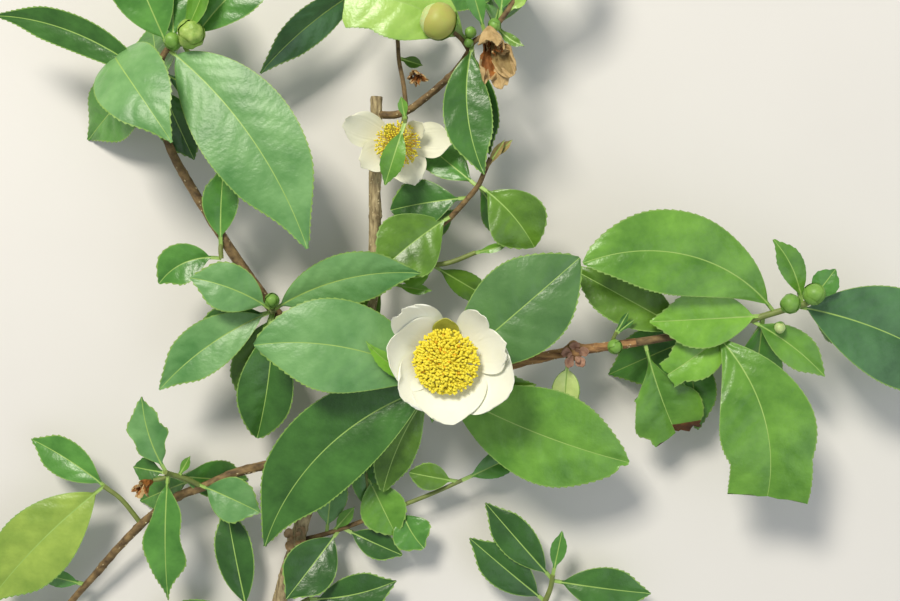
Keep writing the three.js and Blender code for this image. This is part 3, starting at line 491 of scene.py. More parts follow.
# The woody stems: points as x, y seen on the plane of the bloom, and the height above the table.
limbs = {
    "main_stem": dict(radii=[2.6, 1.95], knob=dict(at=[-52.3, -80, 8], radius=3.4), points=[
        [-61, -117, 3.2], [-56, -97, 5], [-51, -80, 8], [-44, -57, 12],
        [-34, -30, 16], [-26, -3, 18], [-25, 20, 19], [-25, 43, 20], [-24.5, 68, 21],
    ]),
    "right_branch": dict(radii=[2.2, 1.4], knob=dict(at=[41.5, -17.6, 25.4], radius=3.5), points=[
        [-34, -31, 16], [-20, -33, 18], [-3, -28, 20], [22, -21, 23],
        [40, -17, 25], [55, -15, 26], [62, -14, 26.5],
    ]),
    "upper_left_branch": dict(radii=[2.2, 1.3], points=[
        [-35, -31, 16], [-43, -22, 18], [-51, -13, 20], [-59, -3, 22], [-70, 12, 25],
        [-79, 26, 27], [-87, 39, 29], [-93, 50, 30], [-96, 60, 31],
    ]),
    "lower_left_branch": dict(radii=[1.7, 1.3], points=[
        [-41, -47, 14], [-48, -51, 15], [-57, -54, 16], [-70, -57, 17], [-82, -62, 17],
        [-90, -65, 16.5], [-100, -72, 15], [-111, -83, 12], [-118, -91, 10],
    ]),
    "upper_twig": dict(radii=[1.3, 1.0], points=[
        [-24, 62, 21], [-18, 62, 23], [-14, 63.5, 25], [-9, 67, 27], [-3, 72, 29], [3, 78, 31],
        [6, 82.5, 32],
    ]),
    "low_right_branch": dict(radii=[1.5, 1.1], points=[
        [-58, -108, 4], [-48, -115, 3.4], [-24, -121, 3], [2, -119, 3.4], [22, -112, 5], [31, -102, 7],
    ]),
}
bluntLeaf = dict(belly=0.56, drawn=0.1)
greenBud = dict(body="bud", scale="bud")
openingBud = dict(body="paleBud", scale="bud", cover=0.45)
youngBud = dict(body="youngBud", scale="youngBud", cover=0.72, uneven=0.2, scales=6)


# one twig of a shoot with its leaves, and the rule for those on its hidden side
def twigAlong(points, radii, *leaves, under=None):
    return dict(points=points, radii=radii, leaves=leaves, under=under)


# A leaf sets off at a share of its twig's length, the way of heading and rise. sway and bend turn
# it from there, and wave is how much more than the others it is crumpled.
def leafAt(tint, at, heading, length, width, rise, sway=0, bend=20, **more):
    return dict(tint=tint, at=at, heading=heading, length=length, width=width, rise=rise, sway=sway,
                bend=bend, **more)


# a small bud, which points the way of its axis, or a dried bloom of that size
def budAt(at, radius, kind=greenBud, stretch=1.1, **look):
    return dict(at=at, radius=radius, stretch=stretch, **kind | look)


# Leafy shoots. barked is how far from a shoot's foot the bark has come, in millimetres.
shoots = {
    "bloom_rosette": dict(twigs=[twigAlong(
        [[-6, -28.5, 20], [-5.5, -29, 26], [-4, -27, 32], [-1, -22.5, 37]], [1.4, 1.5],
        leafAt("dark", 0.4, 224, 85, 29, -6, 56, 24, roll=4, belly=0.46),
        leafAt("sheen", 0.55, 167, 65, 30.5, 12, 44, 44, fold=6, **bluntLeaf),
        leafAt("bright", 0.5, 338, 70.5, 32, -1, 15, 16, roll=-6, fold=7, notched=True, **bluntLeaf),
        leafAt("dull", 0.75, 41, 61, 31, 6, 0, 22, fold=8, **bluntLeaf),
        leafAt("olive", 0.3, 2, 35, 11, 6, 10),
        leafAt("yellow", 0.7, 151, 30.5, 6, 24, -50, 10, fold=30),
        leafAt("bright", 0.75, 259, 15.5, 4.5, 2, 0, 30, fold=20),
        leafAt("olive", 0.25, 245, 42, 14, -12, 24, roll=20, **bluntLeaf),
    )], buds=[
        budAt([-0.3, -21.5, 37.6], 2.6, axis=(0, 0, 1), stretch=0.8),
    ]),
    "left_rosette": dict(twigs=[twigAlong(
        [[-59, -3.5, 22], [-59.3, -3.6, 28], [-59.3, -3, 33]], [1.2, 1.0],
        leafAt("sheen", 0.5, 215, 47, 17, 0, 26),
        leafAt("sheen", 0.85, 158, 30, 16, 10, 30, 40),
        leafAt("sheen", 0.6, 14, 53, 17.5, 2, -38, 30, roll=-14),
        leafAt("olive", 0.35, 250, 36, 15, -14),
        leafAt("dark", 0.3, 261, 46, 19, -12, -18, 26, fold=24, **bluntLeaf),
        leafAt("dark", 0.3, 194, 29, 12, -12),
        leafAt("yellow", 0.95, 95, 6, 3.4, 50, 0, 30),
    )], buds=[
        budAt([-59.3, 0, 36], 2.2, axis=(0, 0.3, 1), lift=0.12, cover=0.8, scales=6, stretch=1.15),
    ]),
    "upper_left_shoot": dict(twigs=[twigAlong(
        [[-96, 60, 31], [-97, 70, 34], [-97, 78, 37], [-94, 84, 39], [-86, 86.5, 40]], [1.25, 0.9],
        leafAt("sheen", 0.74, 305, 82, 31.5, 2, -34, 24, fold=6, belly=0.46),
        leafAt("dark", 0.35, 157, 64, 12, -6, 36, 26, roll=18),
        leafAt("mid", 0.75, 112, 40, 20, 8, 0, 24),
        leafAt("mid", 0.8, 92, 41, 21, -2, 10, 24, roll=-10),
        leafAt("bright", 0.86, 62, 29, 11, 20, 20, roll=40),
        leafAt("mid", 1, 42, 43, 18, 4, -20, 24),
        leafAt("dark", 0.4, 291, 29, 14, -22),
        leafAt("blue", 0.5, 337, 52, 16, -12, 10, 10),
        under=dict(count=3, seed=41, start=0.3, end=0.9, heading=112, turn=93, length=50),
    ), twigAlong(
        [[-97, 72, 34.5], [-104, 76, 31], [-112, 82, 29]], [0.9, 0.8],
        leafAt("sheen", 1, 308, 52, 25, 30, -12, 84, belly=0.4, fold=4),
    )], barked=200, buds=[
        budAt([-86.5, 89, 44], 4.2, youngBud, axis=(0.4, 0.2, 1)),
        budAt([-92.5, 86.5, 41], 2.7, axis=(-0.3, 0.5, 1)),
    ]),
    "upper_left_low_leaves": dict(twigs=[twigAlong(
        [[-76, 20, 26.2], [-76.5, 17.5, 28.5], [-76.3, 14, 28.6]], [0.9, 0.8],
        leafAt("mid", 0.45, 87, 27, 12, 4, -6, 16, fold=16),
        leafAt("mid", 1, 203, 24, 13.5, 0, 64, 30, fold=18),
    )]),
    "right_shoot": dict(twigs=[twigAlong(
        [[62, -14, 26.5], [77, -11.5, 28], [90, -9, 29], [100, -6.5, 30], [108.5, -4, 32],
         [116.5, -1.7, 34], [121.5, 0, 36]], [1.4, 1.0],
        leafAt("bright", 0.78, 166, 73, 27.5, 8, 72, 26, fold=6, **bluntLeaf),
        leafAt("olive", 0.3, 151, 46, 18, -3, 0, 16),
        leafAt("yellow", 0.72, 183, 39, 19, 4, 0, 16, roll=4),
        leafAt("yellow", 0.56, 217, 29, 16, -2, -8, 16, tip=0.6),
        leafAt("bright", 0.05, 291, 36, 25, -14, 14, tip=0.7, belly=0.72, dead=True, wave=1.6),
        leafAt("mid", 0.28, 282, 38, 15, -24),
        leafAt("bright", 0.42, 288, 62.5, 32, 2, -50, 44, fold=6, tip=0.85, belly=0.6),
        leafAt("bright", 0.64, 323, 32, 12, -2, -20, 16),
        leafAt("blue", 0.9, 336, 70, 32, -8, -28, 30, fold=8),
        leafAt("bright", 0.93, 117, 25, 9, 12, 34, roll=-10),
        leafAt("mid", 0.97, 54, 14, 9, 12, 0, 30),
        under=dict(count=3, seed=77, start=0.98, end=0.45, heading=340, turn=-70, length=46),
    )], barked=15, buds=[
        budAt([113.5, -1, 39], 3.1, axis=(-0.3, 0.4, 1)),
        budAt([121.5, 2.2, 40], 3.4, axis=(0.6, 0.3, 0.8)),
        budAt([110, -9, 33], 1.8, openingBud, axis=(0, -1, 0.6)),
    ]),
    "branch_bud": dict(twigs=[twigAlong(
        [[54.5, -15, 26], [54.2, -13.6, 29], [55.5, -10.5, 31]], [0.8, 0.6],
        leafAt("dark", 0.9, 62, 9, 2.2, 20, 0, 0),
        leafAt("dark", 0.9, 38, 8, 1.8, 12, 0, 0),
    )], buds=[
        budAt([55, -15.4, 29.8], 2.3, axis=(0.2, -0.3, 1), lift=0.1, cover=0.8, scales=6, stretch=1),
    ]),
    "pale_leaf": dict(twigs=[twigAlong(
        [[39.8, -17, 25], [39.3, -20, 25]], [0.9, 0.8],
        leafAt("wan", 0.8, 268, 22, 9.5, -16, 6, belly=0.4, drawn=0.2),
    )]),
    "top_shoot": dict(twigs=[twigAlong(
        [[6, 82.5, 32], [7.5, 86, 35], [11.5, 88.5, 37], [16, 92.5, 38], [21.5, 100, 39], [26, 107, 40]],
         [1.0, 0.8],
        leafAt("lit", 0.12, 161, 47, 25, 6, 44, 34, fold=6, tip=0.85, belly=0.56),
        leafAt("dark", 0.15, 275, 45, 16, 1, 40, 6),
        leafAt("deep", 0.1, 281, 38, 13, -22, 8, 10, roll=-20),
        leafAt("mid", 0.5, 84, 36, 15, 4),
        leafAt("mid", 0.3, 108, 20, 6, 20, 0, 10),
        leafAt("mid", 0.98, 62, 36, 13, -6, 20, 30),
        leafAt("mid", 0.98, 128, 34, 13, -6, 20, 30),
        leafAt("lit", 0.63, 32, 8, 3.2, 20, 0, 0),
        leafAt("olive", 0.45, 322, 12, 3.4, 10, 40, 0),
        under=dict(count=3, seed=23, start=0.4, end=1, heading=84, turn=40, length=50),
    ), twigAlong(
        [[6.3, 83.5, 33], [3.5, 87.5, 37.5], [-1, 91, 41]], [0.8, 0.7],
    ), twigAlong(
        [[14, 90.6, 37.5], [14.7, 91.8, 41.5]], [0.8, 0.7],
    )], barked=200, buds=[
        budAt([6.8, 89.5, 37.6], 1.8, axis=(-0.6, 0.3, 0.6)),
        budAt([6.2, 86, 36.4], 1.5, axis=(-0.8, -0.2, 0.5)),
        budAt([14.8, 91.9, 42], 2, axis=(0.1, -0.9, 0.3)),
    ]),
    "back_twig": dict(twigs=[twigAlong(
        [[-14.5, 63.2, 25], [-15.5, 72, 26], [-17, 80, 24], [-18, 90, 22], [-22.5, 100, 20],
         [-28, 109, 18]], [0.8, 0.6],
        leafAt("olive", 0.36, 340, 9, 4, 16, 0, 10),
        leafAt("blue", 0.92, 220, 50, 14, 4, 16, 24, roll=44),
        leafAt("mid", 1, 120, 36, 14, -22, 20),
        leafAt("mid", 0.96, 84, 32, 12, -16, -20),
        leafAt("dark", 0.7, 352, 22, 9, -30),
    )], barked=200, buds=[
        budAt([-11.6, 76, 28.5], 3.4, dried=dict(leanHeading=280, lean=40, spread=1.4)),
    ]),
    "upper_bloom_stalk": dict(twigs=[twigAlong(
        [[-15, 63, 25], [-15, 61.6, 30], [-14.7, 61, 36], [-15, 59.6, 41.5]], [0.8, 0.7],
        leafAt("bright", 0.98, 252, 22, 7.6, -6, 0, 30, fold=14),
        leafAt("bright", 0.9, 100, 8, 3.2, 20, 0, 10),
    ), twigAlong(
        [[-15.1, 62.2, 27], [-16, 57, 25.2], [-17.2, 52.7, 26.3]], [0.8, 0.9],
    )], buds=[
        budAt([-17.3, 52.8, 24.2], 2.4, axis=(0, 0, 1), stretch=0.8),
    ]),
    "middle_shoot": dict(twigs=[twigAlong(
        [[-25, 19, 19], [-15, 19, 20], [-7, 22.5, 21.5], [0, 27.5, 23]], [1.2, 1.0],
    ), twigAlong(
        [[0, 27.5, 23], [5, 33, 26], [9.5, 38.5, 29], [11.5, 43, 31], [13.5, 47.5, 33]], [1.0, 0.8],
        leafAt("mid", 0.58, 139, 30, 13, -22, 0, 10),
        leafAt("dark", 0.38, 188, 28, 17, -15, 8, **bluntLeaf),
        leafAt("olive", 0.06, 218, 31, 23, 7, 12, 16, **bluntLeaf),
        leafAt("olive", 0.6, 312, 29, 20, -4, -26, 40, **bluntLeaf),
        leafAt("awl", 0.84, 56, 12, 2.8, 24, 0, 0, fold=30),
        leafAt("awl", 0.98, 40, 10, 2.8, 16, 0, 0, fold=30),
        under=dict(count=2, seed=11, start=0.2, end=0.6, heading=207, turn=100, length=30),
    )], barked=200),
    "low_middle_shoot": dict(twigs=[twigAlong(
        [[-26, 3, 18], [-16, 7, 20], [-9, 11, 21], [0, 12.7, 22], [8.5, 16, 23]], [1.0, 0.8],
        leafAt("yellow", 0.22, 18, 14, 7, 16),
        leafAt("olive", 0.15, 228, 24, 12, -6),
        leafAt("yellow", 0.2, 350, 14, 4, 10, 10, 0),
        leafAt("yellow", 0.98, 14, 12, 3, 4, 0, 0),
        leafAt("olive", 0.6, 330, 26, 9, -24, 0, 10),
    )]),
    "lower_left_rosette": dict(twigs=[twigAlong(
        [[-83, -62, 17], [-88, -59.5, 21], [-93, -58, 25], [-95, -57.3, 28]], [1.0, 0.9],
        leafAt("sheen", 0.95, 105, 28, 12, 12, -24, twist=30, wave=3),
        leafAt("mid", 0.9, 268, 46, 13, -10, 4, 30, twist=20, drawn=0.8, wave=3.4),
        leafAt("sheen", 0.12, 336, 24, 15.5, 2, -10, wave=1.4),
        leafAt("bright", 0.6, 58, 9, 3, 20, 0, 0),
        leafAt("dark", 0.9, 172, 13, 8, -14),
        under=dict(count=2, seed=19, start=0.3, end=0.7, heading=205, turn=137, length=34),
    ), twigAlong(
        [[-93, -58, 25], [-96, -59.4, 26], [-99, -60, 27]], [0.8, 0.7],
    )], buds=[
        budAt([-99.3, -60, 27.5], 3.6, dried=dict(leanHeading=215, lean=50, spread=1.6)),
    ]),
    "lower_left_tip": dict(twigs=[twigAlong(
        [[-118, -91, 10], [-126, -100, 9], [-134, -110, 9], [-140, -119, 10]], [1.25, 0.9],
        leafAt("mid", 0.15, 160, 16, 6, 20, 0, 10),
        leafAt("mid", 0.35, 285, 26, 11, 10, 10),
        leafAt("bright", 0.7, 185, 42, 16, 0, 20, 26),
        leafAt("mid", 0.85, 300, 40, 15, 6, -20, 26),
        leafAt("mid", 1, 232, 46, 17, 6, 10, 30),
        leafAt("mid", 0.95, 150, 30, 12, 10, 10, 24),
    )], barked=24),
    "yellow_leaf_shoot": dict(twigs=[twigAlong(
        [[-103, -74.5, 14], [-110, -66, 16], [-115.5, -62, 17]], [0.9, 0.8],
        leafAt("pale", 1, 225, 59, 25, -4, 14, 24, fold=7),
        leafAt("mid", 0.9, 150, 34, 13, -10, 20, 24),
    )]),
    "low_centre_shoot": dict(twigs=[twigAlong(
        [[-50, -80, 8], [-42, -78, 9], [-33, -75, 10], [-24, -71.5, 11], [-15, -68, 12], [-5, -64, 13],
         [4, -60, 14]], [0.9, 0.7],
        leafAt("mid", 0.42, 92, 27, 11, 4),
        leafAt("olive", 0.98, 168, 18, 9.5, 10, drawn=0.1),
        leafAt("mid", 0.62, 300, 17, 14, 6, 30),
        leafAt("sheen", 0.16, 83, 25, 12, 8),
        leafAt("bright", 0.2, 50, 13, 4.5, 20),
        leafAt("mid", 1, 24, 24, 9, -10),
        leafAt("deep", 0.24, 232, 30, 18, 14, 0, 24),
        leafAt("deep", 0.26, 336, 23, 10, 2),
    ), twigAlong(
        [[-26, -72.2, 10.8], [-27.4, -62, 12], [-28, -57.5, 12.4]], [0.8, 0.7],
        leafAt("bright", 1, 296, 24, 16, 2, 0, 16, drawn=0.1),
    )], barked=30),
    "stem_foot_leaves": dict(twigs=[twigAlong(
        [[-69, -104, 9.4], [-63.5, -104.5, 8.6], [-58, -104, 8.3], [-52, -102, 9], [-47, -99.5, 11]],
         [0.9, 0.8],
        leafAt("deep", 0.98, 12, 32, 14, 0, 20),
        leafAt("deep", 0.06, 101, 40, 13, 1),
        leafAt("blue", 0.03, 190, 36, 13, -2, 20),
    )]),
    "low_right_shoot": dict(twigs=[twigAlong(
        [[31, -102, 7], [33.5, -96, 9], [34.3, -91.5, 12]], [1.05, 0.8],
        leafAt("deep", 0.85, 131, 36, 13, 2),
        leafAt("mid", 1, 80, 17, 5.5, 16, 0, 10),
        leafAt("deep", 0.15, 139, 36, 14, 8),
        leafAt("dark", 0.8, 353, 35, 15, 2, 0, 24),
        leafAt("mid", 0.2, 300, 38, 14, 0, 16, 22),
    )]),
}
hiddenLeaves = dict(tipHeight=1, steepest=0.75, bend=8, widthShare=0.36, widthVaries=0.06,
                    least=0.9, sizeVaries=0.2, headingVaries=16, swayVaries=24, rollVaries=16)
series = dict(factor=16807, limit=2147483647)


# random numbers from 0 to 1 that any program can repeat
def repeatable(seed):
    state = seed
    while True:
        state = state * series["factor"] % series["limit"]
        yield state / series["limit"]


# leaves below a shoot, each at the same turn from the one before, their tips on the table
def leavesBelow(path, count, seed, start, end, heading, turn, length):
    rule, chance, leaves = hiddenLeaves, repeatable(seed), []
    for i in range(count):
        at = start + (end - start) * i / (count - 1)
        size = length * (rule["least"] + rule["sizeVaries"] * next(chance))
        drop = alongPath(path, at)[2] - rule["tipHeight"]
        leaves.append(leafAt(
            "mid", at,
            heading=heading + i * turn + rule["headingVaries"] * (next(chance) - 0.5),
            rise=-math.degrees(math.asin(min(drop / size, rule["steepest"]))),
            length=size,
            width=size * (rule["widthShare"] + rule["widthVaries"] * next(chance)),
            sway=rule["swayVaries"] * (next(chance) - 0.5),
            bend=rule["bend"],
            roll=rule["rollVaries"] * (next(chance) - 0.5),
        ))
    return leaves


def alongPath(path, at):
    place = at * (len(path) - 1)
    low = min(int(place), len(path) - 2)
    return path[low] + (path[low + 1] - path[low]) * (place - low)


# Stems

# round tubes along paths, each with a radius for every point, as one mesh
def tubeMesh(name, tubes, resolution):
    curve = bpy.data.curves.new(name, "CURVE")
    curve.dimensions = "3D"
    curve.bevel_depth = layout["metres"]
    curve.bevel_resolution = resolution
    curve.use_fill_caps = True
    for path, radii in tubes:
        spline = curve.splines.new("POLY")
        spline.points.add(len(path) - 1)
        spline.points.foreach_set("co", np.hstack([placed(path), np.ones((len(path), 1))]).ravel())
        spline.points.foreach_set("radius", radii)
    holder = bpy.data.objects.new(name, curve)
    bpy.context.collection.objects.link(holder)
    made = holder.evaluated_get(bpy.context.evaluated_depsgraph_get())
    mesh = bpy.data.meshes.new_from_object(made)
    bpy.data.objects.remove(holder)
    mesh.name = name
    return mesh


stemLook = dict(
    pointStep=0.45,  # along a stem, in millimetres
    fissureDepth={"main_stem": 0.34, "right_branch": 0.3},
    plainDepth=0.2,
    fissureAcross=2.2,  # how many fissures stand side by side on a millimetre of skin
    fissureAlong=0.12,
    ridge=0.6,  # how high the skin stands between two fissures
    fissureDrop=2.4,
    roughness=0.5,
    roughScale=2.7,  # how much finer the roughness is than the fissures
    nodeStep=19,  # between the rings that old leaves left
    nodeHeight=0.18,
    nodeWidth=0.7,
    knobSpread=0.62,  # of its own radius
    endGap=3,
    skins={"main_stem": "bark", "right_branch": "redTwig"},
    samples=200,
    roundness=8,
)


def makeStems():
    look = stemLook
    for name, limb in limbs.items():
        count = int(pathLength(smoothPath(limb["points"], look["samples"])) / look["pointStep"])
        path = smoothPath(limb["points"], count)
        run = np.linspace(0, pathLength(path), count)
        radii = np.linspace(*limb["radii"], count)
        seed = len(name)
        for ring in np.arange(seed, run[-1] - look["endGap"], look["nodeStep"]):
            radii = radii + look["nodeHeight"] * np.exp(-((run - ring) / look["nodeWidth"]) ** 2)
        if "knob" in limb:
            knob = limb["knob"]
            nearest = np.argmin(np.linalg.norm(path - seen(knob["at"]), axis=1))
            away = (run - run[nearest]) / (look["knobSpread"] * knob["radius"])
            radii = radii + (knob["radius"] - radii[nearest]) * np.exp(-away**2)
        mesh = tubeMesh(name + "_bark", [(path, radii)], look["roundness"])
        roughenBark(mesh, path, run, look["fissureDepth"].get(name, look["plainDepth"]), seed)
        mesh.materials.append(materials[look["skins"].get(name, "brownTwig")])
        mesh.materials.append(materials["cut"])
        for face in mesh.polygons:
            capped = len(face.vertices) > 4
            face.use_smooth = not capped
            face.material_index = int(capped)
        finished(name + "_bark", mesh, "bark", name)
    print("stems made:", len(limbs))


# lifts the skin between long splits that run with the stem
def roughenBark(mesh, path, run, depth, seed):
    look, unitSize = stemLook, layout["metres"]
    places = np.zeros(len(mesh.vertices) * 3)
    mesh.vertices.foreach_get("co", places)
    places = places.reshape(-1, 3)
    skeleton = placed(path)
    nearest = np.array([np.argmin(((skeleton - p) ** 2).sum(axis=1)) for p in places])
    outward = places - skeleton[nearest]
    radius = np.linalg.norm(outward, axis=1)
    onSkin = radius > 0.1 * unitSize  # all but the middles of the two ends
    unit = outward / np.maximum(radius, 1e-6)[:, None]
    lift = np.zeros(len(places))
    for i, (n, s) in enumerate(zip(unit, run[nearest])):
        size = radius[i] / unitSize * look["fissureAcross"]
        spot = Vector((n[0] * size, n[1] * size + seed, n[2] * size + s * look["fissureAlong"]))
        rough = look["roughness"] * noise.noise(spot * look["roughScale"])
        lift[i] = look["ridge"] - abs(noise.noise(spot)) * look["fissureDrop"] + rough
    places += unit * (lift * depth * unitSize)[:, None] * onSkin[:, None]
    mesh.vertices.foreach_set("co", places.ravel())


pores = dict(seed=6, size=0.62, least=0.6, more=0.6, sunk=0.98, samples=200, ends=4, counts={
    "main_stem": 230, "right_branch": 90, "upper_left_branch": 60, "lower_left_branch": 60,
    "upper_twig": 25})


# small corky pores stand up all over the wood
def makePores():
    parts, random, samples = [], np.random.default_rng(pores["seed"]), pores["samples"]
    for name, count in pores["counts"].items():
        path = smoothPath(limbs[name]["points"], samples)
        radii = np.linspace(*limbs[name]["radii"], samples)
        for i in random.integers(pores["ends"], samples - pores["ends"], count):
            along = path[i + 1] - path[i]
            away = np.cross(along, random.random(3) - 0.5)
            spot = path[i] + away / np.linalg.norm(away) * radii[i] * pores["sunk"]
            size = pores["size"] * (pores["least"] + pores["more"] * random.random())
            parts.append(grainArrays(spot, along / np.linalg.norm(along), random, 0, size))
    joinedPiece("stem_pores", parts, ["pore"], "bark")
    print("pores made:", len(parts))


# Buds

# A bud: a round body of two overlapping halves, and scales that clasp it from below.
budShape = dict(
    scales=5,
    cover=0.62,  # how far up the scales reach
    lift=0.05,  # how far their tips stand off
    rows=12,
    columns=12,
    bodyRows=18,
    bodyColumns=16,
    bodyEnds=(0.03, 0.02),  # how near the poles it starts and ends, as angles
    uneven=0.05,
    unevenScale=1.7,
    halfAngle=1.75,  # a half is folded this far round the body, so it overlaps the other
    bodyThickness=0.07,
    overlap=0.018,
    seam=0.02,
    scaleStart=0.05,
    scaleReach=0.7,  # about how far the innermost scale reaches, as a share of the outermost one's
    scaleAngle=(0.95, 0.2),  # half its width, and how much more chance may add
    scaleStep=0.05,  # how far the scales lie over each other
    scaleThickness=0.035,
    scaleTurn=2.4,
    scaleTurnVaries=0.3,
    scaleLevel=1.03,  # of the body's radius, where the lowest scale lies
    scaleTip=0.004,  # the square of how wide the very tip is
    blunt=2.6,  # more than 2 gives a scale broad shoulders
    ribs=5,
    ribHeight=0.012,
)


# three directions for a form that points along an axis: two across it, and the axis itself
def turnedTo(axis):
    axis = np.array(axis, float) / np.linalg.norm(axis)
    side = np.cross(axis, [0.3, 1, 0.2])  # a direction that no axis here has
    side /= np.linalg.norm(side)
    return np.stack([side, np.cross(axis, side), axis])


def budArrays(bud, looks, seed):
    random, shape = np.random.default_rng(seed), budShape | bud
    turn, radius = turnedTo(bud["axis"]), bud["radius"]

    def ball(polar, around, size):
        flat, tall = np.sin(polar), -np.cos(polar) * bud["stretch"]
        local = np.stack([flat * np.cos(around), flat * np.sin(around), tall], axis=-1)
        for row in local.reshape(-1, 3):
            lump = noise.noise(Vector(row * shape["unevenScale"]) + Vector((seed, 0, 0)))
            row *= 1 + shape["uneven"] * lump
        return seen(bud["at"]) + (local * size[..., None]) @ turn

    def shell(polar, around, size, thickness, look):
        upper, lower = ball(polar, around, size), ball(polar, around, size - thickness)
        faceLook = np.full((size.shape[0] - 1, size.shape[1] - 1), looks.index(look), np.int32)
        return closedBlade(upper, lower, faceLook, faceLook)

    parts, (first, last) = [], shape["bodyEnds"]
    for k in range(2):
        polar = np.linspace(first, math.pi - last, shape["bodyRows"] + 1)[:, None]
        around = np.linspace(-1, 1, shape["bodyColumns"] + 1)[None, :]
        size = radius * (1 + shape["overlap"] * k + shape["seam"] * around**2 * (k - 0.5)) + 0 * polar
        angle = around * shape["halfAngle"] + k * math.pi + 0 * polar
        look = bud.get("otherHalf", bud["body"]) if k else bud["body"]
        parts.append(shell(polar + 0 * around, angle, size, size * shape["bodyThickness"], look))
    t = np.linspace(0, 1, shape["rows"] + 1)[:, None]
    s = np.linspace(-1, 1, shape["columns"] + 1)[None, :]
    least, more = shape["scaleAngle"]
    for k in range(shape["scales"]):
        share = (k + 1) / shape["scales"]
        reach = math.pi * shape["cover"] * (shape["scaleReach"] * (1 - share) + share)
        outline = np.sqrt(np.clip(1 - t ** shape["blunt"], shape["scaleTip"], 1))
        halfAngle = (least + more * random.random()) * outline
        turned = k * shape["scaleTurn"] + random.random() * shape["scaleTurnVaries"]
        around = turned + s * halfAngle
        polar = shape["scaleStart"] + t * reach + 0 * s
        ribbed = shape["ribHeight"] * np.cos(2 * np.pi * shape["ribs"] * s) * np.sin(np.pi * t)
        level = shape["scaleLevel"] + shape["scaleStep"] * k / shape["scales"]
        size = radius * (level + shape["lift"] * t**2 + ribbed)
        parts.append(shell(polar, around, size, shape["scaleThickness"] * radius, bud["scale"]))
    return parts


# Each shoot becomes two pieces: its twigs, and its leaves with its small buds.
shootLook = dict(pointStep=0.7, samples=60, leastPoints=6, roundness=3, looks=(
    "rib", "rim", "under", "dead", "bud", "paleBud", "youngBud", "withered", "dryRim", "mid"))


def makeShoots():
    leafCount = 0
    for number, (name, shoot) in enumerate(shoots.items()):
        tubes, parts = [], []
        tints = {leaf["tint"] for twig in shoot["twigs"] for leaf in twig["leaves"]}
        looks = sorted(tints | set(shootLook["looks"]))
        for twig in shoot["twigs"]:
            length = pathLength(smoothPath(twig["points"], shootLook["samples"]))
            count = max(shootLook["leastPoints"], int(length / shootLook["pointStep"]))
            path = smoothPath(twig["points"], count)
            tubes.append((path, np.linspace(*twig["radii"], count)))
            hidden = leavesBelow(path, **twig["under"]) if twig["under"] else []
            for leaf in [*twig["leaves"], *hidden]:
                base = alongPath(path, leaf["at"])
                parts.append(leafArrays(base, leaf, looks, 100 * number + len(parts)))
        leafCount += len(parts)
        for bud in shoot.get("buds", []):
            if "dried" in bud:
                parts += driedArrays(bud, looks, number)
            else:
                parts += budArrays(bud, looks, number + len(parts))
        joinedPiece(name + "_leaves", parts, looks, "foliage", name)
        mesh = tubeMesh(name + "_twigs", tubes, shootLook["roundness"])
        mesh.materials.append(materials["greenTwig"])
        mesh.materials.append(materials["brownTwig"])
        start, barked = Vector(placed(tubes[0][0])[0]), shoot.get("barked", 0) * layout["metres"]
        for face in mesh.polygons:
            face.use_smooth = len(face.vertices) <= 4
            face.material_index = int((face.center - start).length < barked)
        finished(name + "_twigs", mesh, "foliage")
    print("shoots made:", len(shoots), "with", leafCount, "leaves")


# Blooms

# a petal, sepal or scale: turn is its way round the bloom's axis, and rise and bend give its bowl
def petalAt(turn, length, width, rise=37, bend=-70, **more):
    return dict(turn=turn, length=length, width=width, rise=rise, bend=bend, **more)


# equal ones at several turns
def petalsAt(turns, *form, **more):
    return [petalAt(turn, *form, **more) for turn in turns]


dryPetal = dict(crumple=1.1, torn=0)
paleDry = dict(look="dryRim", **dryPetal)
sepalForm = dict(torn=0, start=1.2, overlap=0, lines=4, columns=20)
petalShape = dict(
    rowStep=0.55,
    leastRows=8,
    columns=40,
    start=0.25,  # how far from the axis it starts
    foot=1.2,  # half its width there
    footWidth=10,  # a petal as wide as this has a full foot
    outline=(0.02, 0.9, 1.5),  # where on a half wave it starts, how much it takes, and the wave's skew
    fullness=0.6,
    wrap=2,  # how flat it lies round the axis
    thickness=0.4,
    thinning=(1.2, 0.6),  # the share of that at the foot, and how much less it is at the end
    overlap=0.5,  # how far one edge lies over the next petal
    overlapFull=(0.1, 0.5),  # where that starts, and where it is full
    ripple=0.3,
    rippleTurns=(4, 11),  # across the end, and along the sides
    waveShift=6,  # in radians, up to which chance shifts a wave: about a full turn
    lines=11,
    lineHeight=0.035,
    fineWidth=20,  # a petal as wide as this has full folds
    rounding=0.13,
    slant=0,
    torn=0.3,
    tornTurns=(7, 17),  # large and small notches
    crumple=0,
    crumpleAlong=0.2,
    crumpleAcross=0.13,
    crumpleFolds=((1, 1.6), (2.6, 0.7)),  # how fine and how high its large and small folds are
    crumplePull=2.6,
    crumplePullScale=0.9,
    crumpleApart=(3.7, 9),  # how far apart in the noise two petals are, and the folds and the pull
    rimAt=0.86,
    rimRounding=0.35,
    rimWaver=(0.1, 9),  # how high and how fine it is
)
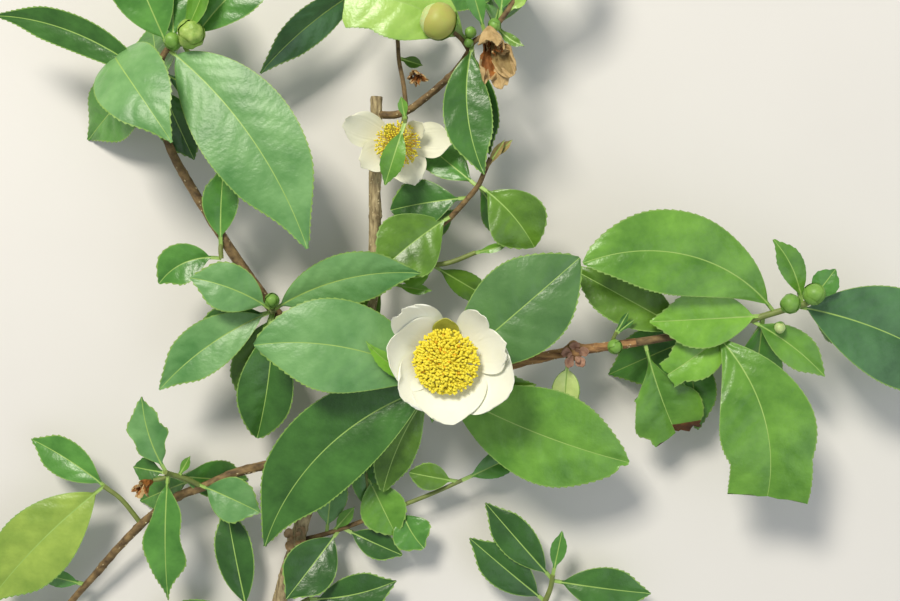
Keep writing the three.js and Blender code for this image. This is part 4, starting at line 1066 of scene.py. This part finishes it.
# A bloom is a cup of petals round a dome of stamens, on an axis that leans.
blooms = {
    "centre_bloom": dict(
        foot=[-0.6, -19.4, 40.4], leanHeading=225, lean=8, look="petal", slot="petal",
        stamens=dict(radius=10.6, height=10.6, count=1150, old=0.05, grain=1.12),
        petals=[
            petalAt(166, 24, 34, overlap=-0.5),
            petalAt(126, 28, 18, overlap=-1, torn=1, slant=4),
            petalAt(54, 25, 12, 34, overlap=0),
            petalAt(14, 26, 18, 36, torn=1.2),
            petalAt(338, 29, 32, 36),
            petalAt(274, 24.5, 34),
            petalAt(218, 22.5, 26, overlap=1.2),
        ],
        sepals=[*petalsAt([92], 15, 11, 30, -50, **sepalForm),
                *petalsAt([160, 235, 310, 20], 9, 9, 6, -30, **sepalForm)],
    ),
    "upper_bloom": dict(
        foot=[-17.3, 52.6, 27.7], leanHeading=268, lean=14, look="creamPetal", slot="petal",
        stamens=dict(radius=7.8, height=8, count=300, old=0.12, grain=0.76),
        petals=[
            petalAt(156, 20, 15, 18, -30),
            petalAt(208, 15, 14, 22, -30),
            petalAt(294, 15, 17, 14, -20),
            petalAt(6, 19, 15, 16, -30),
            petalAt(38, 13, 9, 34, -30),
        ],
        sepals=[*petalsAt([60, 120], 6.5, 7, 20, -30, **sepalForm),
                *petalsAt([200, 320], 6.5, 7, 0, -30, **sepalForm)],
    ),
    "withered_bloom": dict(
        foot=[13.2, 89.5, 42], leanHeading=280, lean=50, look="withered", slot="withered",
        crumbs=dict(centre=(1.6, 0.4, 8.6), spread=2.6, counts=(26, 16)),
        petals=[
            petalAt(100, 11, 15, 80, 0, start=2.2, **paleDry),
            petalAt(252, 17, 12, 62, 10, **dryPetal),
            petalAt(284, 20, 8, 60, -10, **paleDry),
            petalAt(320, 17, 12, 64, 12, look="dryOlive", **dryPetal),
            petalAt(10, 12, 10, 70, 16, **paleDry),
            petalAt(340, 8.5, 7, 76, 0, start=1, **dryPetal),
            petalAt(220, 8, 6, 80, 0, start=1, **dryPetal),
        ],
    ),
}


# turns points from a bloom's own axis to its place on the branch
def onBloom(points, bloom):
    turned, lean = math.radians(bloom["leanHeading"]), math.radians(bloom["lean"])
    x, y = -math.sin(turned), math.cos(turned)
    c, s = math.cos(lean), math.sin(lean)
    turn = np.array([
        [c + x * x * (1 - c), x * y * (1 - c), y * s],
        [x * y * (1 - c), c + y * y * (1 - c), -x * s],
        [-y * s, x * s, c],
    ])
    return points @ turn.T + seen(bloom["foot"])


# how high a petal's skin stands over its bowl, u along it and s across it: one edge lies over the
# next petal, the rim ripples, and fine lines run up the skin
def petalHeight(shape, u, s, random):
    fine, shift = min(1, shape["width"] / shape["fineWidth"]), shape["waveShift"]
    across, along = shape["rippleTurns"]
    height = shape["overlap"] * fine * s * eased(*shape["overlapFull"], u)
    ripple = u**3 * np.sin(across * s + shift * random.random())
    ripple = ripple + np.abs(s) ** 5 * np.sin(along * u + shift * random.random())
    line = np.cos(2 * np.pi * shape["lines"] * s / (1 + s**2)) * np.sin(np.pi * u)
    return height + shape["ripple"] * fine * ripple + shape["lineHeight"] * line


# how far a petal reaches past its plain end, which is rounded or torn
def petalReach(shape, u, s, seed, random):
    large, small = shape["tornTurns"]
    ragged = np.sin(large * s + shape["waveShift"] * random.random()) + 0.5 * np.sin(small * s + seed)
    reach = -shape["rounding"] * shape["width"] * s**2 * u**5 - shape["slant"] * s * u**4
    return reach + shape["torn"] * ragged * u**8


# folds a dried petal, and draws its end in and out
def crumple(height, reach, shape, u, s, seed):
    petals, pulls = shape["crumpleApart"]
    for (i, j), _ in np.ndenumerate(height):
        x = u[i, 0] * shape["length"] * shape["crumpleAlong"]
        y = s[0, j] * shape["width"] * shape["crumpleAcross"]
        spot = Vector((x, y, seed * petals))
        folds = sum(noise.noise(spot * fine) * high for fine, high in shape["crumpleFolds"])
        pulled = noise.noise(spot * shape["crumplePullScale"] + Vector((pulls, 0, 0)))
        height[i, j] += shape["crumple"] * u[i, 0] ** 0.6 * folds
        reach[i, j] += shape["crumple"] * u[i, 0] ** 3 * shape["crumplePull"] * pulled


# A petal wrapped round the bloom's axis, on the bowl that its rise and bend give. rimLook is the
# number of the material of a paler rim, and look that of the rest.
def petalArrays(petal, bloom, seed, look=0, rimLook=0):
    shape, random = petalShape | petal, np.random.default_rng(seed)
    length, width = petal["length"], petal["width"]
    rows = max(shape["leastRows"], int(length / shape["rowStep"]))
    curve = dict(heading=0, rise=petal["rise"], bend=petal["bend"], length=length)
    place, _, face, along = midrib(np.array([shape["start"], 0, 0]), curve, rows)
    u = np.linspace(0, 1, rows + 1)[:, None]
    s = np.linspace(-1, 1, shape["columns"] + 1)[None, :]
    begin, taken, skew = shape["outline"]
    outline = np.abs(np.sin(np.pi * (u * taken + begin) ** skew)) ** shape["fullness"]
    half = np.maximum(width / 2 * outline, shape["foot"] * min(1, width / shape["footWidth"]))
    height = petalHeight(shape, u, s, random)
    reach = petalReach(shape, u, s, seed, random)
    if shape["crumple"]:
        crumple(height, reach, shape, u, s, seed)

    def wrapped(lift):
        out, up = (place[:, [k]] + along[:, [k]] * reach + face[:, [k]] * lift for k in (0, 2))
        turn = math.radians(petal["turn"]) - s * half / (np.maximum(place[:, :1], 0) + shape["wrap"])
        return np.stack([out * np.cos(turn), out * np.sin(turn), up], axis=-1)

    footShare, less = shape["thinning"]
    upper = wrapped(height)
    lower = wrapped(height - shape["thickness"] * np.minimum(footShare - less * u, 1))
    high, fine = shape["rimWaver"]
    paler = u + shape["rimRounding"] * np.abs(s) ** 3 + high * np.sin(fine * s + seed) > shape["rimAt"]
    faceLook = np.where(paler[:-1, :-1], rimLook, look)
    points, *rest = closedBlade(upper, lower, faceLook, faceLook)
    return onBloom(points, bloom), *rest


# Its sizes are shares of the bloom's, and a pair is the least and how much more chance may add.
driedShape = dict(
    petals=7,
    turn=51,
    turnVaries=30,
    petalLength=(1.1, 0.6),
    petalWidth=1.1,
    rise=(52, 30),
    bend=20,
    crumple=0.2,
    torn=0.1,
    columns=16,
    sunk=0.4,
    crumbs=16,
    crumbHeight=0.7,
    crumbSpread=0.45,
)


# a small bloom that has dried up: short crumpled petals round a few dark crumbs
def driedArrays(bud, looks, seed):
    shape, random, dried = driedShape, np.random.default_rng(seed), bud["dried"]
    size = bud["radius"] * dried["spread"]
    x, y, z = bud["at"]
    bloom = dict(foot=[x, y, z - size * shape["sunk"]], **dried)
    dark, pale, parts = looks.index("withered"), looks.index("dryRim"), []
    (least, longer), (flattest, steeper) = shape["petalLength"], shape["rise"]
    for k in range(shape["petals"]):
        petal = petalAt(
            k * shape["turn"] + shape["turnVaries"] * random.random(),
            size * (least + longer * random.random()),
            size * shape["petalWidth"],
            flattest + steeper * random.random(),
            shape["bend"],
            crumple=shape["crumple"] * size,
            columns=shape["columns"],
            torn=shape["torn"],
        )
        parts.append(petalArrays(petal, bloom, seed + k, dark, pale))
    centre = (0, 0, size * shape["crumbHeight"])
    return parts + crumbArrays(bloom, centre, size * shape["crumbSpread"], shape["crumbs"], random, dark)


# the dried stamens, stuck together in crumbs
def crumbArrays(bloom, centre, spread, count, random, look):
    parts = []
    for _ in range(count):
        away = random.random(3) * 2 - 1
        spot = np.array(centre) + spread * away * random.random()
        points, *rest = grainArrays(spot, random.random(3) - 0.4, random, look, stamenShape["crumb"])
        parts.append((onBloom(points, bloom), *rest))
    return parts


stamenShape = dict(
    steps=4,  # along a thread
    sides=4,
    threadHalf=0.11,
    foot=2.4,  # how far from the axis the outermost thread starts
    footHeight=0.6,
    goldenAngle=2.39996,  # from one thread to the next, which spreads them evenly
    angleVaries=0.25,
    reachVaries=(0.94, 0.08),  # the least and how much more chance may add
    heightVaries=(0.82, 0.2),
    dome=0.3,  # how much lower the outermost threads are
    domeCurve=2.4,
    leanCurve=1.5,
    oldInside=(1.5, 1.3),  # the share of old anthers in the middle, and how much it falls outwards
    rings=4,
    grainSides=6,
    grainHalf=0.5,
    grainFlat=0.75,
    grainLength=0.55,
    grainTilt=0.7,  # how far chance turns an anther from its thread
    crumb=0.8,
)


# the points and faces of a form that is made once and repeated hundreds of times
def formArrays(form):
    form.verts.index_update()
    points = np.array([vertex.co for vertex in form.verts])
    faces = [[vertex.index for vertex in face.verts] for face in form.faces]
    form.free()
    return points, faces


# a thread that stands on the origin, 1 high and with a half width of 1
def makeThreadForm():
    form = bmesh.new()
    bmesh.ops.create_cone(form, cap_ends=True, segments=stamenShape["sides"], radius1=1, radius2=1,
                          depth=1, matrix=Matrix.Translation((0, 0, 0.5)))
    upright = [edge for edge in form.edges if edge.verts[0].co.z != edge.verts[1].co.z]
    bmesh.ops.subdivide_edges(form, edges=upright, cuts=stamenShape["steps"] - 1)
    return formArrays(form)


def makeGrainForm():
    form, sides = bmesh.new(), stamenShape["grainSides"]
    bmesh.ops.create_uvsphere(form, u_segments=sides, v_segments=stamenShape["rings"] + 1, radius=1,
                              matrix=Matrix.Rotation(math.pi / sides, 4, "Z"))
    return formArrays(form)


threadForm = makeThreadForm()
grainForm = makeGrainForm()


# the middle of a thread at shares t of its length: it sets off upwards and leans out
def threadLine(t, reach, angle, out, top):
    low = stamenShape["footHeight"]
    away = stamenShape["foot"] * reach * (1 - t) + out * t ** stamenShape["leanCurve"]
    return np.stack([away * math.cos(angle), away * math.sin(angle), low + (top - low) * t], axis=-1)


def stamenArrays(bloom, seed):
    shape, size, random = stamenShape, bloom["stamens"], np.random.default_rng(seed)
    (points, faces), parts = threadForm, []
    thickness = points * [shape["threadHalf"], shape["threadHalf"], 0]
    ending = np.array([1 - 1 / shape["steps"], 1])
    inside, fall = shape["oldInside"]

    def varied(key):
        least, more = shape[key]
        return least + more * random.random()

    for i in range(size["count"]):
        reach = math.sqrt((i + 0.5) / size["count"])
        angle = i * shape["goldenAngle"] + shape["angleVaries"] * random.random()
        out = size["radius"] * reach * varied("reachVaries")
        height = size["height"] * (1 - shape["dome"] * reach ** shape["domeCurve"])
        top = height * varied("heightVaries")
        thread = threadLine(points[:, 2], reach, angle, out, top) + thickness
        parts.append((thread, faces, [0] * len(faces), np.zeros(len(points), bool)))
        old = random.random() < size["old"] * (inside - fall * reach)
        before, tip = threadLine(ending, reach, angle, out, top)
        axis = (tip - before) / np.linalg.norm(tip - before)
        parts.append(grainArrays(tip, axis, random, 2 if old else 1, size["grain"]))
    return [(onBloom(points, bloom), *rest) for points, *rest in parts]


# an anther: a short bean, roughly along its axis
def grainArrays(tip, axis, random, look, scale):
    shape, (points, faces) = stamenShape, grainForm
    turn = turnedTo(axis + shape["grainTilt"] * (random.random(3) - 0.5))
    size = np.array([shape["grainHalf"], shape["grainHalf"] * shape["grainFlat"], shape["grainLength"]])
    return tip + (points * size * scale) @ turn, faces, [look] * len(faces), np.zeros(len(points), bool)


def makeBlooms():
    for number, (name, bloom) in enumerate(blooms.items()):
        dry = "crumbs" in bloom
        looks = ["withered", "dryRim", "dryOlive"] if dry else [bloom["look"]]
        parts = []
        for k, petal in enumerate(bloom["petals"]):
            look = looks.index(petal.get("look", looks[0]))
            parts.append(petalArrays(petal, bloom, 10 * number + k, look, int(dry)))
        if dry:
            crumbs, random = bloom["crumbs"], np.random.default_rng(number)
            for look, count in enumerate(crumbs["counts"]):
                parts += crumbArrays(bloom, crumbs["centre"], crumbs["spread"], count, random, look)
        joinedPiece(name + "_cup", parts, looks, bloom["slot"], name + "_petals")
        if "sepals" in bloom:
            parts = [petalArrays(sepal, bloom, k) for k, sepal in enumerate(bloom["sepals"])]
            joinedPiece(name + "_sepals", parts, ["sepal"], "bud")
        if "stamens" in bloom:
            looks = ["filament", "anther", "oldAnther"]
            joinedPiece(name + "_threads", stamenArrays(bloom, number), looks, "stamen", name + "_stamens")
    print("blooms made:", len(blooms))


roundBud = budAt([-4, 93.3, 43.5], 6, openingBud | dict(otherHalf="flushedBud", cover=0.42), 0.95,
                 axis=(-0.55, 0.25, 0.8), uneven=0.06)
roundBudSeed = 5


def makeRoundBud():
    looks = ["paleBud", "flushedBud", "bud"]
    joinedPiece("round_bud_scales", budArrays(roundBud, looks, roundBudSeed), looks, "bud", "round_bud")
    print("round bud made")


# Dry bud scales stay open like a rosette on the wood where a side twig broke off.
dryScaleForm = dict(columns=14, overlap=0.2, ripple=0.1, torn=0.15)
outerScale = petalAt(0, 4.9, 6, 30, -62, start=0.5, **dryScaleForm)
innerScale = petalAt(0, 3.2, 3.6, 48, -62, start=0.3, **dryScaleForm)
knobs = {
    "right_branch_scales": dict(foot=[41.5, -17.9, 28], leanHeading=280, lean=14, look="scale",
                                outer=5, firstTurn=20),
    "main_stem_scales": dict(foot=[-51.8, -79.4, 11.1], leanHeading=20, lean=20, look="wornScale",
                             outer=4, firstTurn=50),
}
innerTurns = (60, 180, 300)


def makeKnobs():
    for name, knob in knobs.items():
        turns = [knob["firstTurn"] + 360 / knob["outer"] * k for k in range(knob["outer"])]
        scales = [outerScale | dict(turn=turn) for turn in turns]
        scales += [innerScale | dict(turn=turn) for turn in innerTurns]
        parts = [petalArrays(scale, knob, k) for k, scale in enumerate(scales)]
        joinedPiece(name, parts, [knob["look"]], "bark")
    print("knobs of dry scales made:", len(knobs))


makeStems()
makePores()
makeShoots()
makeBlooms()
makeRoundBud()
makeKnobs()


# The table and the light

table = dict(size=4, light="#e4e2dc", dark="#dedcd6", mottle=200, grain=2, relief=0.02, Roughness=0.9)
lamps = dict(
    key=dict(at=(-0.4, 0.7, 1.1), size=0.35, power=16, colour="#fff8ec"),
    fill=dict(at=(0.7, -0.3, 0.9), size=0.9, power=2.4, colour="#eaf2ff"),
)
room = dict(colour="#f2f5f8", strength=0.42)


def makeFloor():
    paint = dict(table)
    bpy.ops.mesh.primitive_plane_add(size=paint.pop("size"))
    floor = bpy.context.object
    floor.name = "table_top"
    floor.data.materials.append(surface("matt pale paint", **paint))


def makeLight():
    for name, lamp in lamps.items():
        light = bpy.data.lights.new(name, "AREA")
        light.size = lamp["size"]
        light.energy = lamp["power"]
        light.color = linear(lamp["colour"])[:3]
        holder = bpy.data.objects.new(name, light)
        holder.location = lamp["at"]
        holder.rotation_euler = Vector(lamp["at"]).to_track_quat("Z", "Y").to_euler()
        bpy.context.collection.objects.link(holder)
    world = bpy.data.worlds.new("soft room light")
    world.use_nodes = True
    sky = world.node_tree.nodes["Background"]
    sky.inputs["Color"].default_value = linear(room["colour"])
    sky.inputs["Strength"].default_value = room["strength"]
    bpy.context.scene.world = world


makeFloor()
makeLight()
print("table and light ready")
